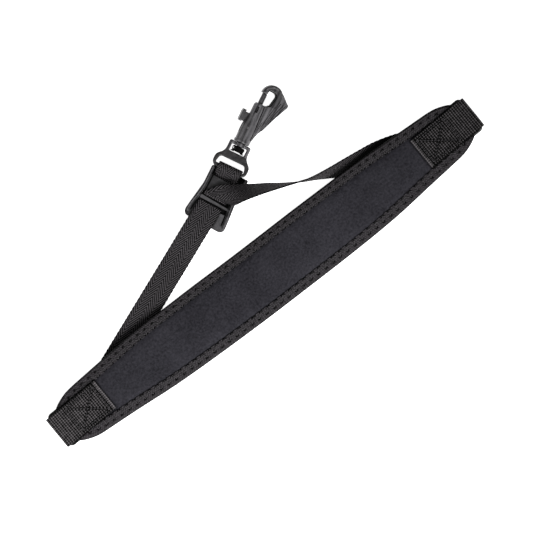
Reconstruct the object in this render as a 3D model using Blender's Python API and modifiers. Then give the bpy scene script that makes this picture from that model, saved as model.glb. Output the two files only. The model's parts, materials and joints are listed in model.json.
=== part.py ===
"""A padded neck strap with a swivel snap hook, laid out flat.

Metres, +Z up. The pad lies along X, with the hook on its +Y side. Every piece is first placed in the
pad's own frame, whose origin is on the floor under the middle of the pad, and one empty then carries
the whole strap so that it stands centred over the world's origin.
"""

import math

import bmesh
import bpy
from mathutils import Matrix, Vector

# Clearance between two pieces that touch, and the fineness of round corners
GAP = 0.0003
ARC_STEP = math.radians(24)

# Neck pad and its edge binding
PAD_LENGTH = 0.378
PAD_WIDTH = 0.0534
PAD_THICK = 0.005
PAD_BOW = 0.0020
PAD_STEPS = 40
BINDING_WIDTH = 0.0085
BINDING_WALL = 0.0007

# Tabs of ribbed webbing, each sewn to an end of the pad
TAB_WIDTH = 0.0258
TAB_THICK = 0.0014
TAB_SEWN = (0.0384, 0.0424)
TAB_TILT = math.radians(1.8)

# Wire rings in the tabs' folds
RING_WIRE = 0.0021
RING_SPAN = 0.0135
RING_CORNER = 0.003
RING_PLAY = 0.0003
RING_OUT = 0.0057

# Herringbone webbing
WEB_WIDTH = 0.019
WEB_THICK = 0.0012
WEB_TAIL = 0.028
WEB_BEND = 0.012

# Slider: plate, rails, crossbar and slots, in its own frame along x
SLIDER_AT = (0.0017, 0.0650)
SLIDER_HEADING = math.radians(23.5)
SLIDER_LOW = 0.0180
SLIDER_HIGH = 0.0187
SLIDER_LOW_WIDTH = 0.0348
SLIDER_WAIST_WIDTH = 0.0284
SLIDER_HIGH_WIDTH = 0.0292
SLIDER_CORNER = 0.0038
SCOOP = 0.0007
PLATE_THICK = 0.0018
RAIL_WIDTH = 0.0027
RAIL_RISE = 0.0015
RAIL_DROP = 0.0011
RAIL_SET_BACK = 0.0035
RAIL_REACH = (0.0081, 0.0060)
CROSSBAR = 0.0023
SLOT_LENGTH = 0.0036
LEG_SIDE = 0.0017
LOOP_SIDE = 0.0010
LOOP_ON_BAR = -0.0009

# Swivel eye and hook, in their own frame along x, from the collar's back face
HOOK_AT = (0.0454, 0.0880)
HOOK_HEADING = math.radians(26.6)
EYE_THICK = 0.0036
EYE_BAR = 0.0030
EYE_BAR_AT = -0.0224
EYE_WIDTH = 0.0280
EYE_SLOT_WIDTH = 0.0226
EYE_SLOT_TOP = -0.0150
FRAME_WIDTH = 0.0172
WINDOW_WIDTH = 0.0120
WINDOW_BACK = -0.0088
WINDOW_FRONT = -0.0033
FRAME_FRONT = -0.0006
STEM_RADIUS = 0.0019
HEAD_RADIUS = 0.0044
HEAD_LENGTH = 0.0042
BOSS_RADIUS = 0.0038
COLLAR_RADIUS = 0.0063
BARREL_LENGTH = 0.0323
BOLT_RADIUS = 0.0020
BOLT_BACK = 0.0130
BOLT_TRAVEL = 0.0080
TIP_AT = 0.0408
BOW_CENTRE = (0.0412, -0.0054)
BOW_RADIUS = 0.0083
BOW_THICK = 0.0066
RIB_THICK = 0.0050
FIN_THICK = 0.0032
FIN_REACH = 0.0204
KNOB_LENGTH = 0.0084
KNOB_WIDTH = 0.0062
KNOB_THICK = 0.0028
NECK_THICK = 0.0020

# Levels that follow from what is stacked on what
HOOK_HEIGHT = COLLAR_RADIUS + GAP
PAD_LIFT = 2 * WEB_THICK + RING_WIRE + TAB_THICK + 4 * GAP
PLATE_BOTTOM = 2 * WEB_THICK + 3 * GAP
PLATE_TOP = PLATE_BOTTOM + PLATE_THICK
RAIL_TOP = PLATE_TOP + RAIL_RISE
WEB_OVER = PLATE_TOP + GAP + WEB_THICK / 2
WEB_UNDER = GAP + WEB_THICK / 2
WEB_BACK = WEB_UNDER + WEB_THICK + GAP
RING_LOW = WEB_THICK + GAP + RING_WIRE / 2
RING_HIGH = PAD_LIFT + RING_WIRE / 2
RING_INNER = TAB_WIDTH + 2 * RING_PLAY
RING_WRAP = RING_WIRE / 2 + GAP + WEB_THICK / 2
SLOT_MIDDLE = CROSSBAR / 2 + SLOT_LENGTH / 2
SLIDER_INSIDE = SLIDER_WAIST_WIDTH / 2 - RAIL_WIDTH

# Pad outline: share of the half length from the middle, and share of the half width there
PAD_SHAPE = (
    (0.00, 1.000), (0.20, 1.000), (0.40, 0.985), (0.52, 0.965), (0.60, 0.937), (0.68, 0.893),
    (0.76, 0.851), (0.84, 0.812), (0.88, 0.792), (0.915, 0.762), (0.95, 0.690), (0.985, 0.570), (1.00, 0.470),
)
# Thickness of the pad: share of the half length, and share of its thickness
PAD_FILL = ((0.00, 1.00), (0.60, 1.00), (0.80, 0.82), (1.00, 0.72))
# Rise of the pad off the floor, from its left end to its right: share of the half length, and of the lift
PAD_RISE = (
    (-1.00, 1.00), (-0.80, 0.76), (-0.60, 0.50), (-0.42, 0.32), (-0.30, 0.17), (-0.15, 0.0),
    (0.14, 0.0), (0.30, 0.45), (0.44, 0.97), (0.52, 1.13), (0.60, 1.12), (0.80, 1.02), (1.00, 1.00),
)
# Line down the middle of the pad, as it lies a little bent: share of the half length, and of the bow
PAD_BEND = (
    (-1.00, 0.0), (-0.80, 0.05), (-0.32, -0.62), (0.00, -1.00), (0.32, -1.00), (0.80, -0.38), (1.00, 0.0),
)
PAD_COLUMNS = (1.0, 0.5, 0.0, -0.5, -1.0)

# Right leg of the webbing, from the slider's slot to the right ring. The columns are the share of the
# way, the share of it to the left, how far the webbing still lies as it left the slot, how far it
# already lies as the ring does, its roll in degrees, and the height of its low edge as a share of the
# rails' height.
RIGHT_LEG = (
    (0.000, 0.0000, 1.00, 0.00, 0.0, 0.91),
    (0.016, 0.0014, 0.86, 0.00, -1.0, 0.94),
    (0.034, 0.0005, 0.58, 0.00, -4.0, 1.00),
    (0.055, -0.0019, 0.34, 0.00, -11.0, 1.05),
    (0.085, -0.0057, 0.24, 0.00, -34.0, 1.12),
    (0.120, -0.0095, 0.19, 0.00, -48.5, 1.16),
    (0.152, -0.0132, 0.15, 0.00, -57.0, 1.14),
    (0.185, -0.0165, 0.14, 0.00, -64.0, 0.92),
    (0.218, -0.0200, 0.12, 0.00, -69.5, 0.64),
    (0.258, -0.0256, 0.09, 0.00, -77.5, 0.40),
    (0.299, -0.0308, 0.07, 0.00, -84.5, 0.20),
    (0.340, -0.0349, 0.04, 0.00, -90.0, 0.06),
    (0.378, -0.0374, 0.02, 0.00, -94.0, 0.00),
    (0.412, -0.0371, 0.00, 0.00, -100.0, 0.00),
    (0.446, -0.0367, 0.00, 0.00, -108.5, 0.00),
    (0.480, -0.0364, 0.00, 0.00, -118.0, 0.00),
    (0.515, -0.0358, 0.00, 0.00, -129.5, 0.00),
    (0.550, -0.0343, 0.00, 0.05, -141.0, 0.00),
    (0.584, -0.0310, 0.00, 0.15, -151.0, 0.00),
    (0.618, -0.0263, 0.00, 0.22, -158.5, 0.00),
    (0.654, -0.0207, 0.00, 0.25, -166.0, 0.00),
    (0.702, -0.0162, 0.00, 0.15, -173.0, 0.00),
    (0.745, -0.0145, 0.00, 0.05, -178.0, 0.00),
    (0.800, -0.0142, 0.00, 0.05, -180.0, 0.00),
    (0.870, -0.0170, 0.00, 0.25, -180.0, 0.00),
    (0.940, -0.0195, 0.00, 0.70, -180.0, 0.00),
    (1.000, 0.0000, 0.00, 1.00, -180.0, 0.00),
)
RIGHT_STEPS = 56

# Names, colours and roughness of the materials
COLOURS = {
    "neoprene": ((0.030, 0.030, 0.034), 0.85),
    "binding": ((0.034, 0.032, 0.032), 0.80),
    "tab_webbing": ((0.028, 0.027, 0.027), 0.75),
    "webbing": ((0.026, 0.025, 0.025), 0.70),
    "ring_wire": ((0.012, 0.012, 0.012), 0.35),
    "slider_plastic": ((0.030, 0.030, 0.031), 0.45),
    "hook_plastic": ((0.050, 0.050, 0.053), 0.45),
}


def material(name):
    """The Principled material of this name, made the first time it is asked for."""
    if name in bpy.data.materials:
        return bpy.data.materials[name]
    colour, roughness = COLOURS[name]
    made = bpy.data.materials.new(name)
    made.use_nodes = True
    shader = made.node_tree.nodes["Principled BSDF"]
    shader.inputs["Base Color"].default_value = (*colour, 1.0)
    shader.inputs["Roughness"].default_value = roughness
    shader.inputs["Metallic"].default_value = 0.0
    return made


def collection(name):
    """A new collection in the scene."""
    made = bpy.data.collections.new(name)
    bpy.context.scene.collection.children.link(made)
    return made


def finish(obj, look, angle=35):
    """Gives a mesh object its material and smooth shading with sharp edges above the angle."""
    obj.data.materials.clear()
    obj.data.materials.append(material(look))
    obj.data.shade_smooth()
    obj.data.set_sharp_from_angle(angle=math.radians(angle))
    return obj


def hide_cutter(obj):
    """Marks an object as a tool that is never rendered."""
    obj.hide_render = True
    obj.display_type = "WIRE"
    return obj


def mesh_object(name, verts, faces, into):
    """A mesh object from its vertices and faces, with all faces pointing out."""
    mesh = bpy.data.meshes.new(name)
    built = bmesh.new()
    corners = [built.verts.new(v) for v in verts]
    for face in faces:
        built.faces.new([corners[i] for i in face])
    bmesh.ops.recalc_face_normals(built, faces=built.faces)
    built.to_mesh(mesh)
    built.free()
    obj = bpy.data.objects.new(name, mesh)
    into.objects.link(obj)
    return obj


def curve_to_mesh(name, curve, into):
    """A curve's data as a mesh object with its caps welded."""
    holder = bpy.data.objects.new(name + "_curve", curve)
    into.objects.link(holder)
    bpy.context.view_layer.update()
    graph = bpy.context.evaluated_depsgraph_get()
    mesh = bpy.data.meshes.new_from_object(holder.evaluated_get(graph))
    welded = bmesh.new()
    welded.from_mesh(mesh)
    bmesh.ops.remove_doubles(welded, verts=welded.verts, dist=0.000001)
    bmesh.ops.recalc_face_normals(welded, faces=welded.faces)
    welded.to_mesh(mesh)
    welded.free()
    mesh.name = name
    obj = bpy.data.objects.new(name, mesh)
    into.objects.link(obj)
    obj.matrix_world = holder.matrix_world
    bpy.data.objects.remove(holder)
    return obj


def bevel(obj, width, segments=2, angle=40):
    """Rounds an object's edges."""
    rounded = obj.modifiers.new("Round edges", "BEVEL")
    rounded.width = width
    rounded.segments = segments
    rounded.limit_method = "ANGLE"
    rounded.angle_limit = math.radians(angle)
    return obj


def combine(obj, other, operation):
    """Joins another object to this one, or cuts it away."""
    joined = obj.modifiers.new(operation.title() + " " + other.name, "BOOLEAN")
    joined.operation = operation
    joined.solver = "EXACT"
    joined.object = other
    hide_cutter(other)


def plate(name, outlines, thick, into, soft=0.0):
    """A flat plate centred on z 0, its edges rounded. The first outline is its edge, the others holes."""
    curve = bpy.data.curves.new(name, "CURVE")
    curve.dimensions = "2D"
    curve.fill_mode = "BOTH"
    curve.extrude = thick / 2 - soft
    curve.bevel_depth = soft
    curve.bevel_resolution = 1
    curve.offset = -soft
    for outline in outlines:
        spline = curve.splines.new("POLY")
        spline.points.add(len(outline) - 1)
        for point, place in zip(spline.points, outline):
            point.co = (place[0], place[1], 0.0, 1.0)
        spline.use_cyclic_u = True
    return curve_to_mesh(name, curve, into)


def turned(name, profile, into, sides=20):
    """A solid turned about the x axis through rows of (x, radius)."""
    verts = []
    for x, radius in profile:
        for k in range(sides):
            angle = 2 * math.pi * k / sides
            verts.append((x, radius * math.cos(angle), radius * math.sin(angle)))
    faces = [tuple(range(sides)), tuple(range(len(verts) - sides, len(verts)))]
    for row in range(len(profile) - 1):
        for k in range(sides):
            near = row * sides
            far = near + sides
            on = (k + 1) % sides
            faces.append((near + k, near + on, far + on, far + k))
    return mesh_object(name, verts, faces, into)


def block(name, low, high, into):
    """A box between two corners."""
    mesh = bpy.data.meshes.new(name)
    cube = bmesh.new()
    bmesh.ops.create_cube(cube, size=1.0)
    size = [high[i] - low[i] for i in range(3)]
    middle = [(high[i] + low[i]) / 2 for i in range(3)]
    bmesh.ops.scale(cube, vec=size, verts=cube.verts)
    bmesh.ops.translate(cube, vec=middle, verts=cube.verts)
    cube.to_mesh(mesh)
    cube.free()
    obj = bpy.data.objects.new(name, mesh)
    into.objects.link(obj)
    return obj


def fillet(corners, closed=True):
    """An outline with round corners, from corners of (x, y, radius)."""
    points = []
    count = len(corners)
    for i, (x, y, radius) in enumerate(corners):
        here = Vector((x, y))
        if radius == 0 or (not closed and i in (0, count - 1)):
            points.append(here)
            continue
        back = Vector(corners[i - 1][:2]) - here
        on = Vector(corners[(i + 1) % count][:2]) - here
        half = back.angle(on) / 2
        reach = min(radius / math.tan(half), 0.49 * back.length, 0.49 * on.length)
        radius = reach * math.tan(half)
        start = here + back.normalized() * reach
        end = here + on.normalized() * reach
        centre = here + (back.normalized() + on.normalized()).normalized() * (radius / math.sin(half))
        arm = start - centre
        sweep = math.pi - 2 * half
        sense = 1 if arm.cross(end - centre) > 0 else -1
        steps = max(2, math.ceil(sweep / ARC_STEP))
        for k in range(steps + 1):
            turn = sense * sweep * k / steps
            turned_arm = Vector((
                arm.x * math.cos(turn) - arm.y * math.sin(turn),
                arm.x * math.sin(turn) + arm.y * math.cos(turn),
            ))
            points.append(centre + turned_arm)
    return points


def mirrored(corners):
    """Corners on the +y side, followed by their mirror images, as one outline."""
    return list(corners) + [(x, -y, radius) for x, y, radius in reversed(corners)]


def along(rows, at, column=1):
    """The smooth value of a table's column at this place, with no overshoot between its rows."""
    places = [row[0] for row in rows]
    values = [row[column] for row in rows]
    at = min(max(at, places[0]), places[-1])
    k = max(i for i in range(len(rows) - 1) if places[i] <= at)
    slopes = [(values[i + 1] - values[i]) / (places[i + 1] - places[i]) for i in range(len(rows) - 1)]

    def tangent(i):
        if i == 0 or i == len(rows) - 1:
            return slopes[min(i, len(slopes) - 1)]
        if slopes[i - 1] * slopes[i] <= 0:
            return 0.0
        return 2 * slopes[i - 1] * slopes[i] / (slopes[i - 1] + slopes[i])

    width = places[k + 1] - places[k]
    t = (at - places[k]) / width
    near = (1 + 2 * t) * (1 - t) ** 2 * values[k] + t * (1 - t) ** 2 * width * tangent(k)
    far = t * t * (3 - 2 * t) * values[k + 1] + t * t * (t - 1) * width * tangent(k + 1)
    return near + far


def ribbon(name, stations, width, thick, into):
    """Flat webbing with square ends, along stations of (centre, direction across)."""
    verts = []
    last = len(stations) - 1
    for k, (centre, across) in enumerate(stations):
        way = (stations[min(k + 1, last)][0] - stations[max(k - 1, 0)][0]).normalized()
        up = way.cross(across).normalized() * (thick / 2)
        side = across.normalized() * (width / 2)
        verts += [centre - side - up, centre + side - up, centre + side + up, centre - side + up]
    faces = [(0, 1, 2, 3), tuple(4 * last + i for i in range(4))]
    for k in range(last):
        near = 4 * k
        for i in range(4):
            on = (i + 1) % 4
            faces.append((near + i, near + on, near + 4 + on, near + 4 + i))
    return mesh_object(name, verts, faces, into)


def azimuth(angle):
    """The level unit vector at this angle from +X."""
    return Vector((math.cos(angle), math.sin(angle), 0.0))


def frame_at(place, heading):
    """The matrix of a level frame at this place of the floor, with its x axis along the heading."""
    return Matrix.Translation((place[0], place[1], 0.0)) @ Matrix.Rotation(heading, 4, "Z")


# Pad: its height, thickness and outline at a signed share of its half length

def pad_rise(share):
    return PAD_LIFT * along(PAD_RISE, share)


def pad_fill(share):
    return PAD_THICK * along(PAD_FILL, abs(share))


def pad_point(share, column, inset, height):
    """A point of the pad this far inside its outline and this high over its underside."""
    half_width = PAD_WIDTH / 2 * along(PAD_SHAPE, abs(share))
    x = share * (PAD_LENGTH / 2 - inset)
    y = column * (half_width - inset) + PAD_BOW * along(PAD_BEND, share)
    return Vector((x, y, pad_rise(share) + height))


def pad_shares():
    """Shares of the half length, closer together towards the ends."""
    return [math.sin(math.pi * (k / PAD_STEPS - 0.5)) for k in range(PAD_STEPS + 1)]


def pad_edge():
    """The places round the pad, as (row, column) of its grid."""
    last = len(PAD_COLUMNS) - 1
    left_to_right = [(i, 0) for i in range(PAD_STEPS + 1)]
    right_end = [(PAD_STEPS, j) for j in range(1, last)]
    right_to_left = [(i, last) for i in range(PAD_STEPS, -1, -1)]
    left_end = [(0, j) for j in range(last - 1, 0, -1)]
    return left_to_right + right_end + right_to_left + left_end


def core_profile(fill):
    """Rows of (inset, height) down the pad's edge, inside the binding."""
    wall = BINDING_WALL + GAP
    nose = 2.6 * GAP
    return (
        (BINDING_WIDTH + GAP, 0.70 * fill),
        (BINDING_WIDTH / 2, 0.62 * fill),
        (wall + nose, 0.52 * fill),
        (wall, 0.38 * fill),
        (wall + nose, wall + GAP / 2),
        (BINDING_WIDTH / 2, wall),
        (BINDING_WIDTH + GAP, wall),
    )


def binding_profile(fill):
    """Rows of (inset, height) round the binding's section, outside first."""
    wall = BINDING_WALL + GAP
    nose = 2.6 * GAP
    return (
        (BINDING_WIDTH, 0.70 * fill + wall),
        (BINDING_WIDTH / 2, 0.62 * fill + wall),
        (nose, 0.52 * fill + wall),
        (0.0, 0.38 * fill),
        (nose, GAP / 2),
        (BINDING_WIDTH / 2, 0.0),
        (BINDING_WIDTH, 0.0),
        (BINDING_WIDTH, BINDING_WALL),
        (BINDING_WIDTH / 2, BINDING_WALL),
        (BINDING_WALL + nose, BINDING_WALL + GAP / 2),
        (BINDING_WALL, 0.38 * fill),
        (BINDING_WALL + nose, 0.52 * fill + GAP),
        (BINDING_WIDTH / 2, 0.62 * fill + GAP),
        (BINDING_WIDTH, 0.70 * fill + GAP),
    )


def build_neck_pad(into):
    """The padded panel: a crowned top, a flat underside and an edge stepped in for the binding."""
    shares = pad_shares()
    edge = pad_edge()
    columns = len(PAD_COLUMNS)
    inner = BINDING_WIDTH + 2 * GAP
    verts = []
    faces = []
    for top in (True, False):
        start = len(verts)
        for share in shares:
            for column in PAD_COLUMNS:
                crown = 0.87 + 0.13 * (1 - column * column)
                height = pad_fill(share) * crown if top else 0.0
                verts.append(pad_point(share, column, inner, height))
        for i in range(PAD_STEPS):
            for j in range(columns - 1):
                a = start + i * columns + j
                faces.append((a, a + 1, a + columns + 1, a + columns))
    size = (PAD_STEPS + 1) * columns
    rings = [[i * columns + j for i, j in edge]]
    for row in range(len(core_profile(PAD_THICK))):
        ring = []
        for i, j in edge:
            inset, height = core_profile(pad_fill(shares[i]))[row]
            ring.append(len(verts))
            verts.append(pad_point(shares[i], PAD_COLUMNS[j], inset, height))
        rings.append(ring)
    rings.append([size + i * columns + j for i, j in edge])
    faces += ring_faces(rings)
    return finish(mesh_object("neck_pad", verts, faces, into), "neoprene")


def ring_faces(rings):
    """Faces between each ring of vertices and the next."""
    faces = []
    for near, far in zip(rings, rings[1:]):
        for k in range(len(near)):
            on = (k + 1) % len(near)
            faces.append((near[k], near[on], far[on], far[k]))
    return faces


def build_edge_binding(into):
    """The woven binding, one closed band of a folded section round the pad."""
    shares = pad_shares()
    edge = pad_edge()
    verts = []
    rings = []
    for row in range(len(binding_profile(PAD_THICK))):
        ring = []
        for i, j in edge:
            inset, height = binding_profile(pad_fill(shares[i]))[row]
            ring.append(len(verts))
            verts.append(pad_point(shares[i], PAD_COLUMNS[j], inset, height))
        rings.append(ring)
    rings.append(rings[0])
    return finish(mesh_object("edge_binding", verts, ring_faces(rings), into), "binding")


def pad_end(side):
    """The frame on the floor at an end of the pad, with its x axis out along the tab."""
    heading = TAB_TILT if side > 0 else TAB_TILT + math.pi
    return frame_at((side * PAD_LENGTH / 2, 0.0), heading)


def ring_bar(side):
    """The floor under the middle of a ring's inner bar."""
    level_span = math.sqrt(RING_SPAN ** 2 - (RING_HIGH - RING_LOW) ** 2)
    return pad_end(side) @ Vector((RING_OUT - level_span, 0.0, 0.0))


def pad_levels(side, share):
    """The lowest and highest the pad's faces reach here, in its binding or its panel."""
    panel = min(1.0, share / (1 - 2 * BINDING_WIDTH / PAD_LENGTH))
    rises = (pad_rise(side * share), pad_rise(side * panel))
    return min(rises), max(rises) + max(pad_fill(share), pad_fill(panel))


def build_tab(name, side, into):
    """A tab: over the pad's end, round the ring's outer bar, and back under the pad."""
    half = PAD_LENGTH / 2
    inner = 1 - TAB_SEWN[side > 0] / half
    wrap = RING_WIRE / 2 + GAP + TAB_THICK / 2
    steps = 10
    path = []
    for k in range(steps + 1):
        share = inner + (1 - inner) * k / steps
        top = pad_levels(side, share)[1] + GAP + TAB_THICK / 2
        path.append(((share - 1) * half, top))
    for k in range(9):
        angle = math.pi / 2 - math.pi * k / 8
        path.append((RING_OUT + wrap * math.cos(angle), RING_HIGH + wrap * math.sin(angle)))
    for k in range(steps, -1, -1):
        share = inner + (1 - inner) * k / steps
        low = pad_levels(side, share)[0] - GAP - TAB_THICK / 2
        path.append(((share - 1) * half, low))
    across = azimuth(math.pi / 2 + TAB_TILT)
    stations = [(pad_end(side) @ Vector((x, 0.0, z)), across) for x, z in path]
    return finish(ribbon(name, stations, TAB_WIDTH, TAB_THICK, into), "tab_webbing", 50)


def build_ring(name, side, into):
    """A rectangular wire ring, its outer bar high in the tab's fold and its inner bar low under the pad."""
    half = RING_INNER / 2 + RING_WIRE / 2
    outline = fillet([
        (0.0, -half, RING_CORNER), (RING_SPAN, -half, RING_CORNER),
        (RING_SPAN, half, RING_CORNER), (0.0, half, RING_CORNER),
    ])
    slope = math.asin((RING_HIGH - RING_LOW) / RING_SPAN)
    curve = bpy.data.curves.new(name, "CURVE")
    curve.dimensions = "3D"
    curve.bevel_depth = RING_WIRE / 2
    curve.bevel_resolution = 2
    spline = curve.splines.new("POLY")
    spline.points.add(len(outline) - 1)
    turn = pad_end(side).to_3x3()
    for point, place in zip(spline.points, outline):
        reach = Vector((place.x * math.cos(slope), place.y, RING_LOW + place.x * math.sin(slope)))
        point.co = (*(ring_bar(side) + turn @ reach), 1.0)
    spline.use_cyclic_u = True
    return finish(curve_to_mesh(name, curve, into), "ring_wire", 60)


# Webbing route

def web_height(distance):
    """Height of the webbing's middle this far from a ring's bar, over its own sewn tail."""
    on_tail = WEB_THICK * 1.5 + GAP
    rows = (
        (0.0, RING_LOW + RING_WRAP),
        (0.4 * WEB_TAIL, on_tail),
        (1.08 * WEB_TAIL, on_tail),
        (1.45 * WEB_TAIL, WEB_THICK / 2),
        (4.0 * WEB_TAIL, WEB_THICK / 2),
    )
    return along(rows, distance)


def left_plan():
    """Level points of the left leg: a short bend off the ring, then straight to the slider's slot."""
    slider = frame_at(SLIDER_AT, SLIDER_HEADING)
    start = ring_bar(-1)
    corner = start + azimuth(TAB_TILT) * WEB_BEND
    goal = slider @ Vector((-SLOT_MIDDLE - WEB_THICK, LEG_SIDE, 0.0))
    leave = corner + (goal - corner).normalized() * WEB_BEND
    points = []
    for k in range(9):
        t = k / 8
        points.append(start * (1 - t) ** 2 + corner * (2 * t * (1 - t)) + leave * t * t)
    for k in range(1, 25):
        points.append(leave.lerp(goal, k / 24))
    return points


def measured(points):
    """The points, each with its distance from the first and the level direction across there."""
    rows = []
    distance = 0.0
    for k, point in enumerate(points):
        if k:
            distance += (point - points[k - 1]).length
        way = points[min(k + 1, len(points) - 1)] - points[max(k - 1, 0)]
        rows.append((point, distance, Vector((-way.y, way.x, 0.0)).normalized()))
    return rows


def left_stations():
    """The sewn tail, the wrap round the left ring and the left leg up to the slider."""
    rows = measured(left_plan())
    bar = rows[0][0]
    tail = [(point + Vector((0, 0, WEB_THICK / 2)), across) for point, d, across in rows if d <= WEB_TAIL]
    stations = tail[:0:-1]
    for k in range(9):
        angle = -math.pi / 2 - math.pi * k / 8
        reach = azimuth(TAB_TILT) * (RING_WRAP * math.cos(angle))
        reach.z = RING_LOW + RING_WRAP * math.sin(angle)
        stations.append((bar + reach, azimuth(TAB_TILT + math.pi / 2)))
    length = rows[-1][1]
    climb = (
        (0.0, 1.0),
        (SLIDER_LOW - SLOT_MIDDLE + 3 * WEB_THICK, 1.0),
        (SLIDER_LOW + 0.030, 0.0),
        (length, 0.0),
    )
    for point, d, across in rows[1:]:
        low = web_height(d)
        height = low + (WEB_OVER - low) * along(climb, length - d)
        stations.append((point + Vector((0.0, 0.0, height)), across))
    return stations


def loop_stations():
    """Down the lower slot, under the plate, round the eye's bar, back, and up the upper slot."""
    slider = frame_at(SLIDER_AT, SLIDER_HEADING)
    eye = frame_at(HOOK_AT, HOOK_HEADING)
    bar = slider.inverted() @ eye @ Vector((EYE_BAR_AT, LOOP_ON_BAR, 0.0))
    bar_radius = math.hypot(EYE_BAR, EYE_THICK) / 2 - 0.1 * EYE_THICK
    wrap = bar_radius + GAP + WEB_THICK / 2
    curl = WEB_THICK * 0.95
    middle = Vector((bar.x, HOOK_HEIGHT))

    def touch(corner, side):
        """Where the line from this corner touches the wrap, on its lower or upper side."""
        line = middle - Vector(corner)
        angle = math.atan2(line.y, line.x) + side * math.asin(wrap / line.length)
        reach = math.sqrt(line.length ** 2 - wrap ** 2)
        return Vector(corner) + Vector((math.cos(angle), math.sin(angle))) * reach

    low_corner = (SLIDER_HIGH + 1.2 * WEB_THICK, WEB_UNDER)
    high_corner = (SLIDER_HIGH + 1.4 * WEB_THICK, WEB_BACK)
    low_touch = touch(low_corner, -1)
    high_touch = touch(high_corner, 1)
    going = fillet([
        (-SLOT_MIDDLE - WEB_THICK, WEB_OVER, 0), (-SLOT_MIDDLE, WEB_OVER, curl),
        (-SLOT_MIDDLE, WEB_UNDER, curl), (*low_corner, 2 * WEB_THICK), (*low_touch, 0),
    ], closed=False)[1:-1]
    coming = fillet([
        (*high_touch, 0), (*high_corner, 2 * WEB_THICK), (SLOT_MIDDLE, WEB_BACK, curl),
        (SLOT_MIDDLE, WEB_OVER, curl), (SLOT_MIDDLE + WEB_THICK, WEB_OVER, 0),
    ], closed=False)[1:-1]
    first = math.atan2(*(low_touch - middle).yx)
    last = math.atan2(*(high_touch - middle).yx)
    around = []
    for k in range(11):
        angle = first + (last - first) * k / 10
        around.append(middle + Vector((math.cos(angle), math.sin(angle))) * wrap)
    stations = []
    for half, slot_side in ((going + around[:6], LEG_SIDE), (around[6:] + coming, LOOP_SIDE)):
        for x, z in half:
            share = (x + SLOT_MIDDLE) / (bar.x + SLOT_MIDDLE)
            y = slot_side + (bar.y - slot_side) * share
            heading = SLIDER_HEADING + (HOOK_HEADING - SLIDER_HEADING) * share
            stations.append((slider @ Vector((x, y, z)), azimuth(heading + math.pi / 2)))
    return stations


def right_station(share):
    """Centre and direction across of the right leg at this share of the way to the right ring."""
    slider = frame_at(SLIDER_AT, SLIDER_HEADING)
    start = slider @ Vector((SLOT_MIDDLE, LOOP_SIDE, 0.0))
    chord = ring_bar(1) - start
    heading = math.atan2(chord.y, chord.x)
    left = azimuth(heading + math.pi / 2)
    aside, leaving, landing, roll, low = (along(RIGHT_LEG, share, column) for column in range(1, 6))
    turn = leaving * (SLIDER_HEADING - heading) + landing * (TAB_TILT - heading)
    roll = math.radians(roll)
    across = azimuth(heading + math.pi / 2 + turn) * math.cos(roll) + Vector((0.0, 0.0, math.sin(roll)))
    height = max(low * RAIL_TOP, WEB_THICK / 2) + WEB_WIDTH / 2 * abs(math.sin(roll))
    over_tail = web_height((1 - share) * chord.length) - WEB_THICK / 2
    centre = start + chord * share + left * (aside * chord.length)
    return centre + Vector((0.0, 0.0, height + over_tail)), across, chord.length


def right_stations():
    """The right leg, the wrap round the right ring and the sewn tail."""
    stations = []
    first = 0.020
    for k in range(RIGHT_STEPS):
        centre, across, length = right_station(first + (1 - first) * k / RIGHT_STEPS)
        stations.append((centre, across))
    end, across, length = right_station(1.0)
    for k in range(9):
        angle = math.pi / 2 - math.pi * k / 8
        reach = azimuth(TAB_TILT) * (RING_WRAP * math.cos(angle))
        reach.z = RING_LOW + RING_WRAP * math.sin(angle)
        stations.append((ring_bar(1) + reach, across))
    for k in range(1, 9):
        centre, across, length = right_station(1 - WEB_TAIL / length * k / 8)
        centre.z = WEB_THICK / 2
        stations.append((centre, across))
    return stations


def build_strap_webbing(into):
    """The whole bridle as one webbing."""
    stations = left_stations() + loop_stations() + right_stations()
    return finish(ribbon("strap_webbing", stations, WEB_WIDTH, WEB_THICK, into), "webbing", 50)


# Slider

def slider_side(inset):
    """Corners of (x, y, radius) along one side of the slider, this far inside its outline."""
    flare = (SLIDER_LOW_WIDTH - SLIDER_WAIST_WIDTH) / 2
    return (
        (-SLIDER_LOW, SLIDER_LOW_WIDTH / 2 - inset, SLIDER_CORNER),
        (-0.35 * SLIDER_LOW, SLIDER_WAIST_WIDTH / 2 + 0.62 * flare - inset, 0.020),
        (0.52 * SLIDER_HIGH, SLIDER_WAIST_WIDTH / 2 - inset, 0.020),
        (SLIDER_HIGH, SLIDER_HIGH_WIDTH / 2 - inset, 0.0),
    )


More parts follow.
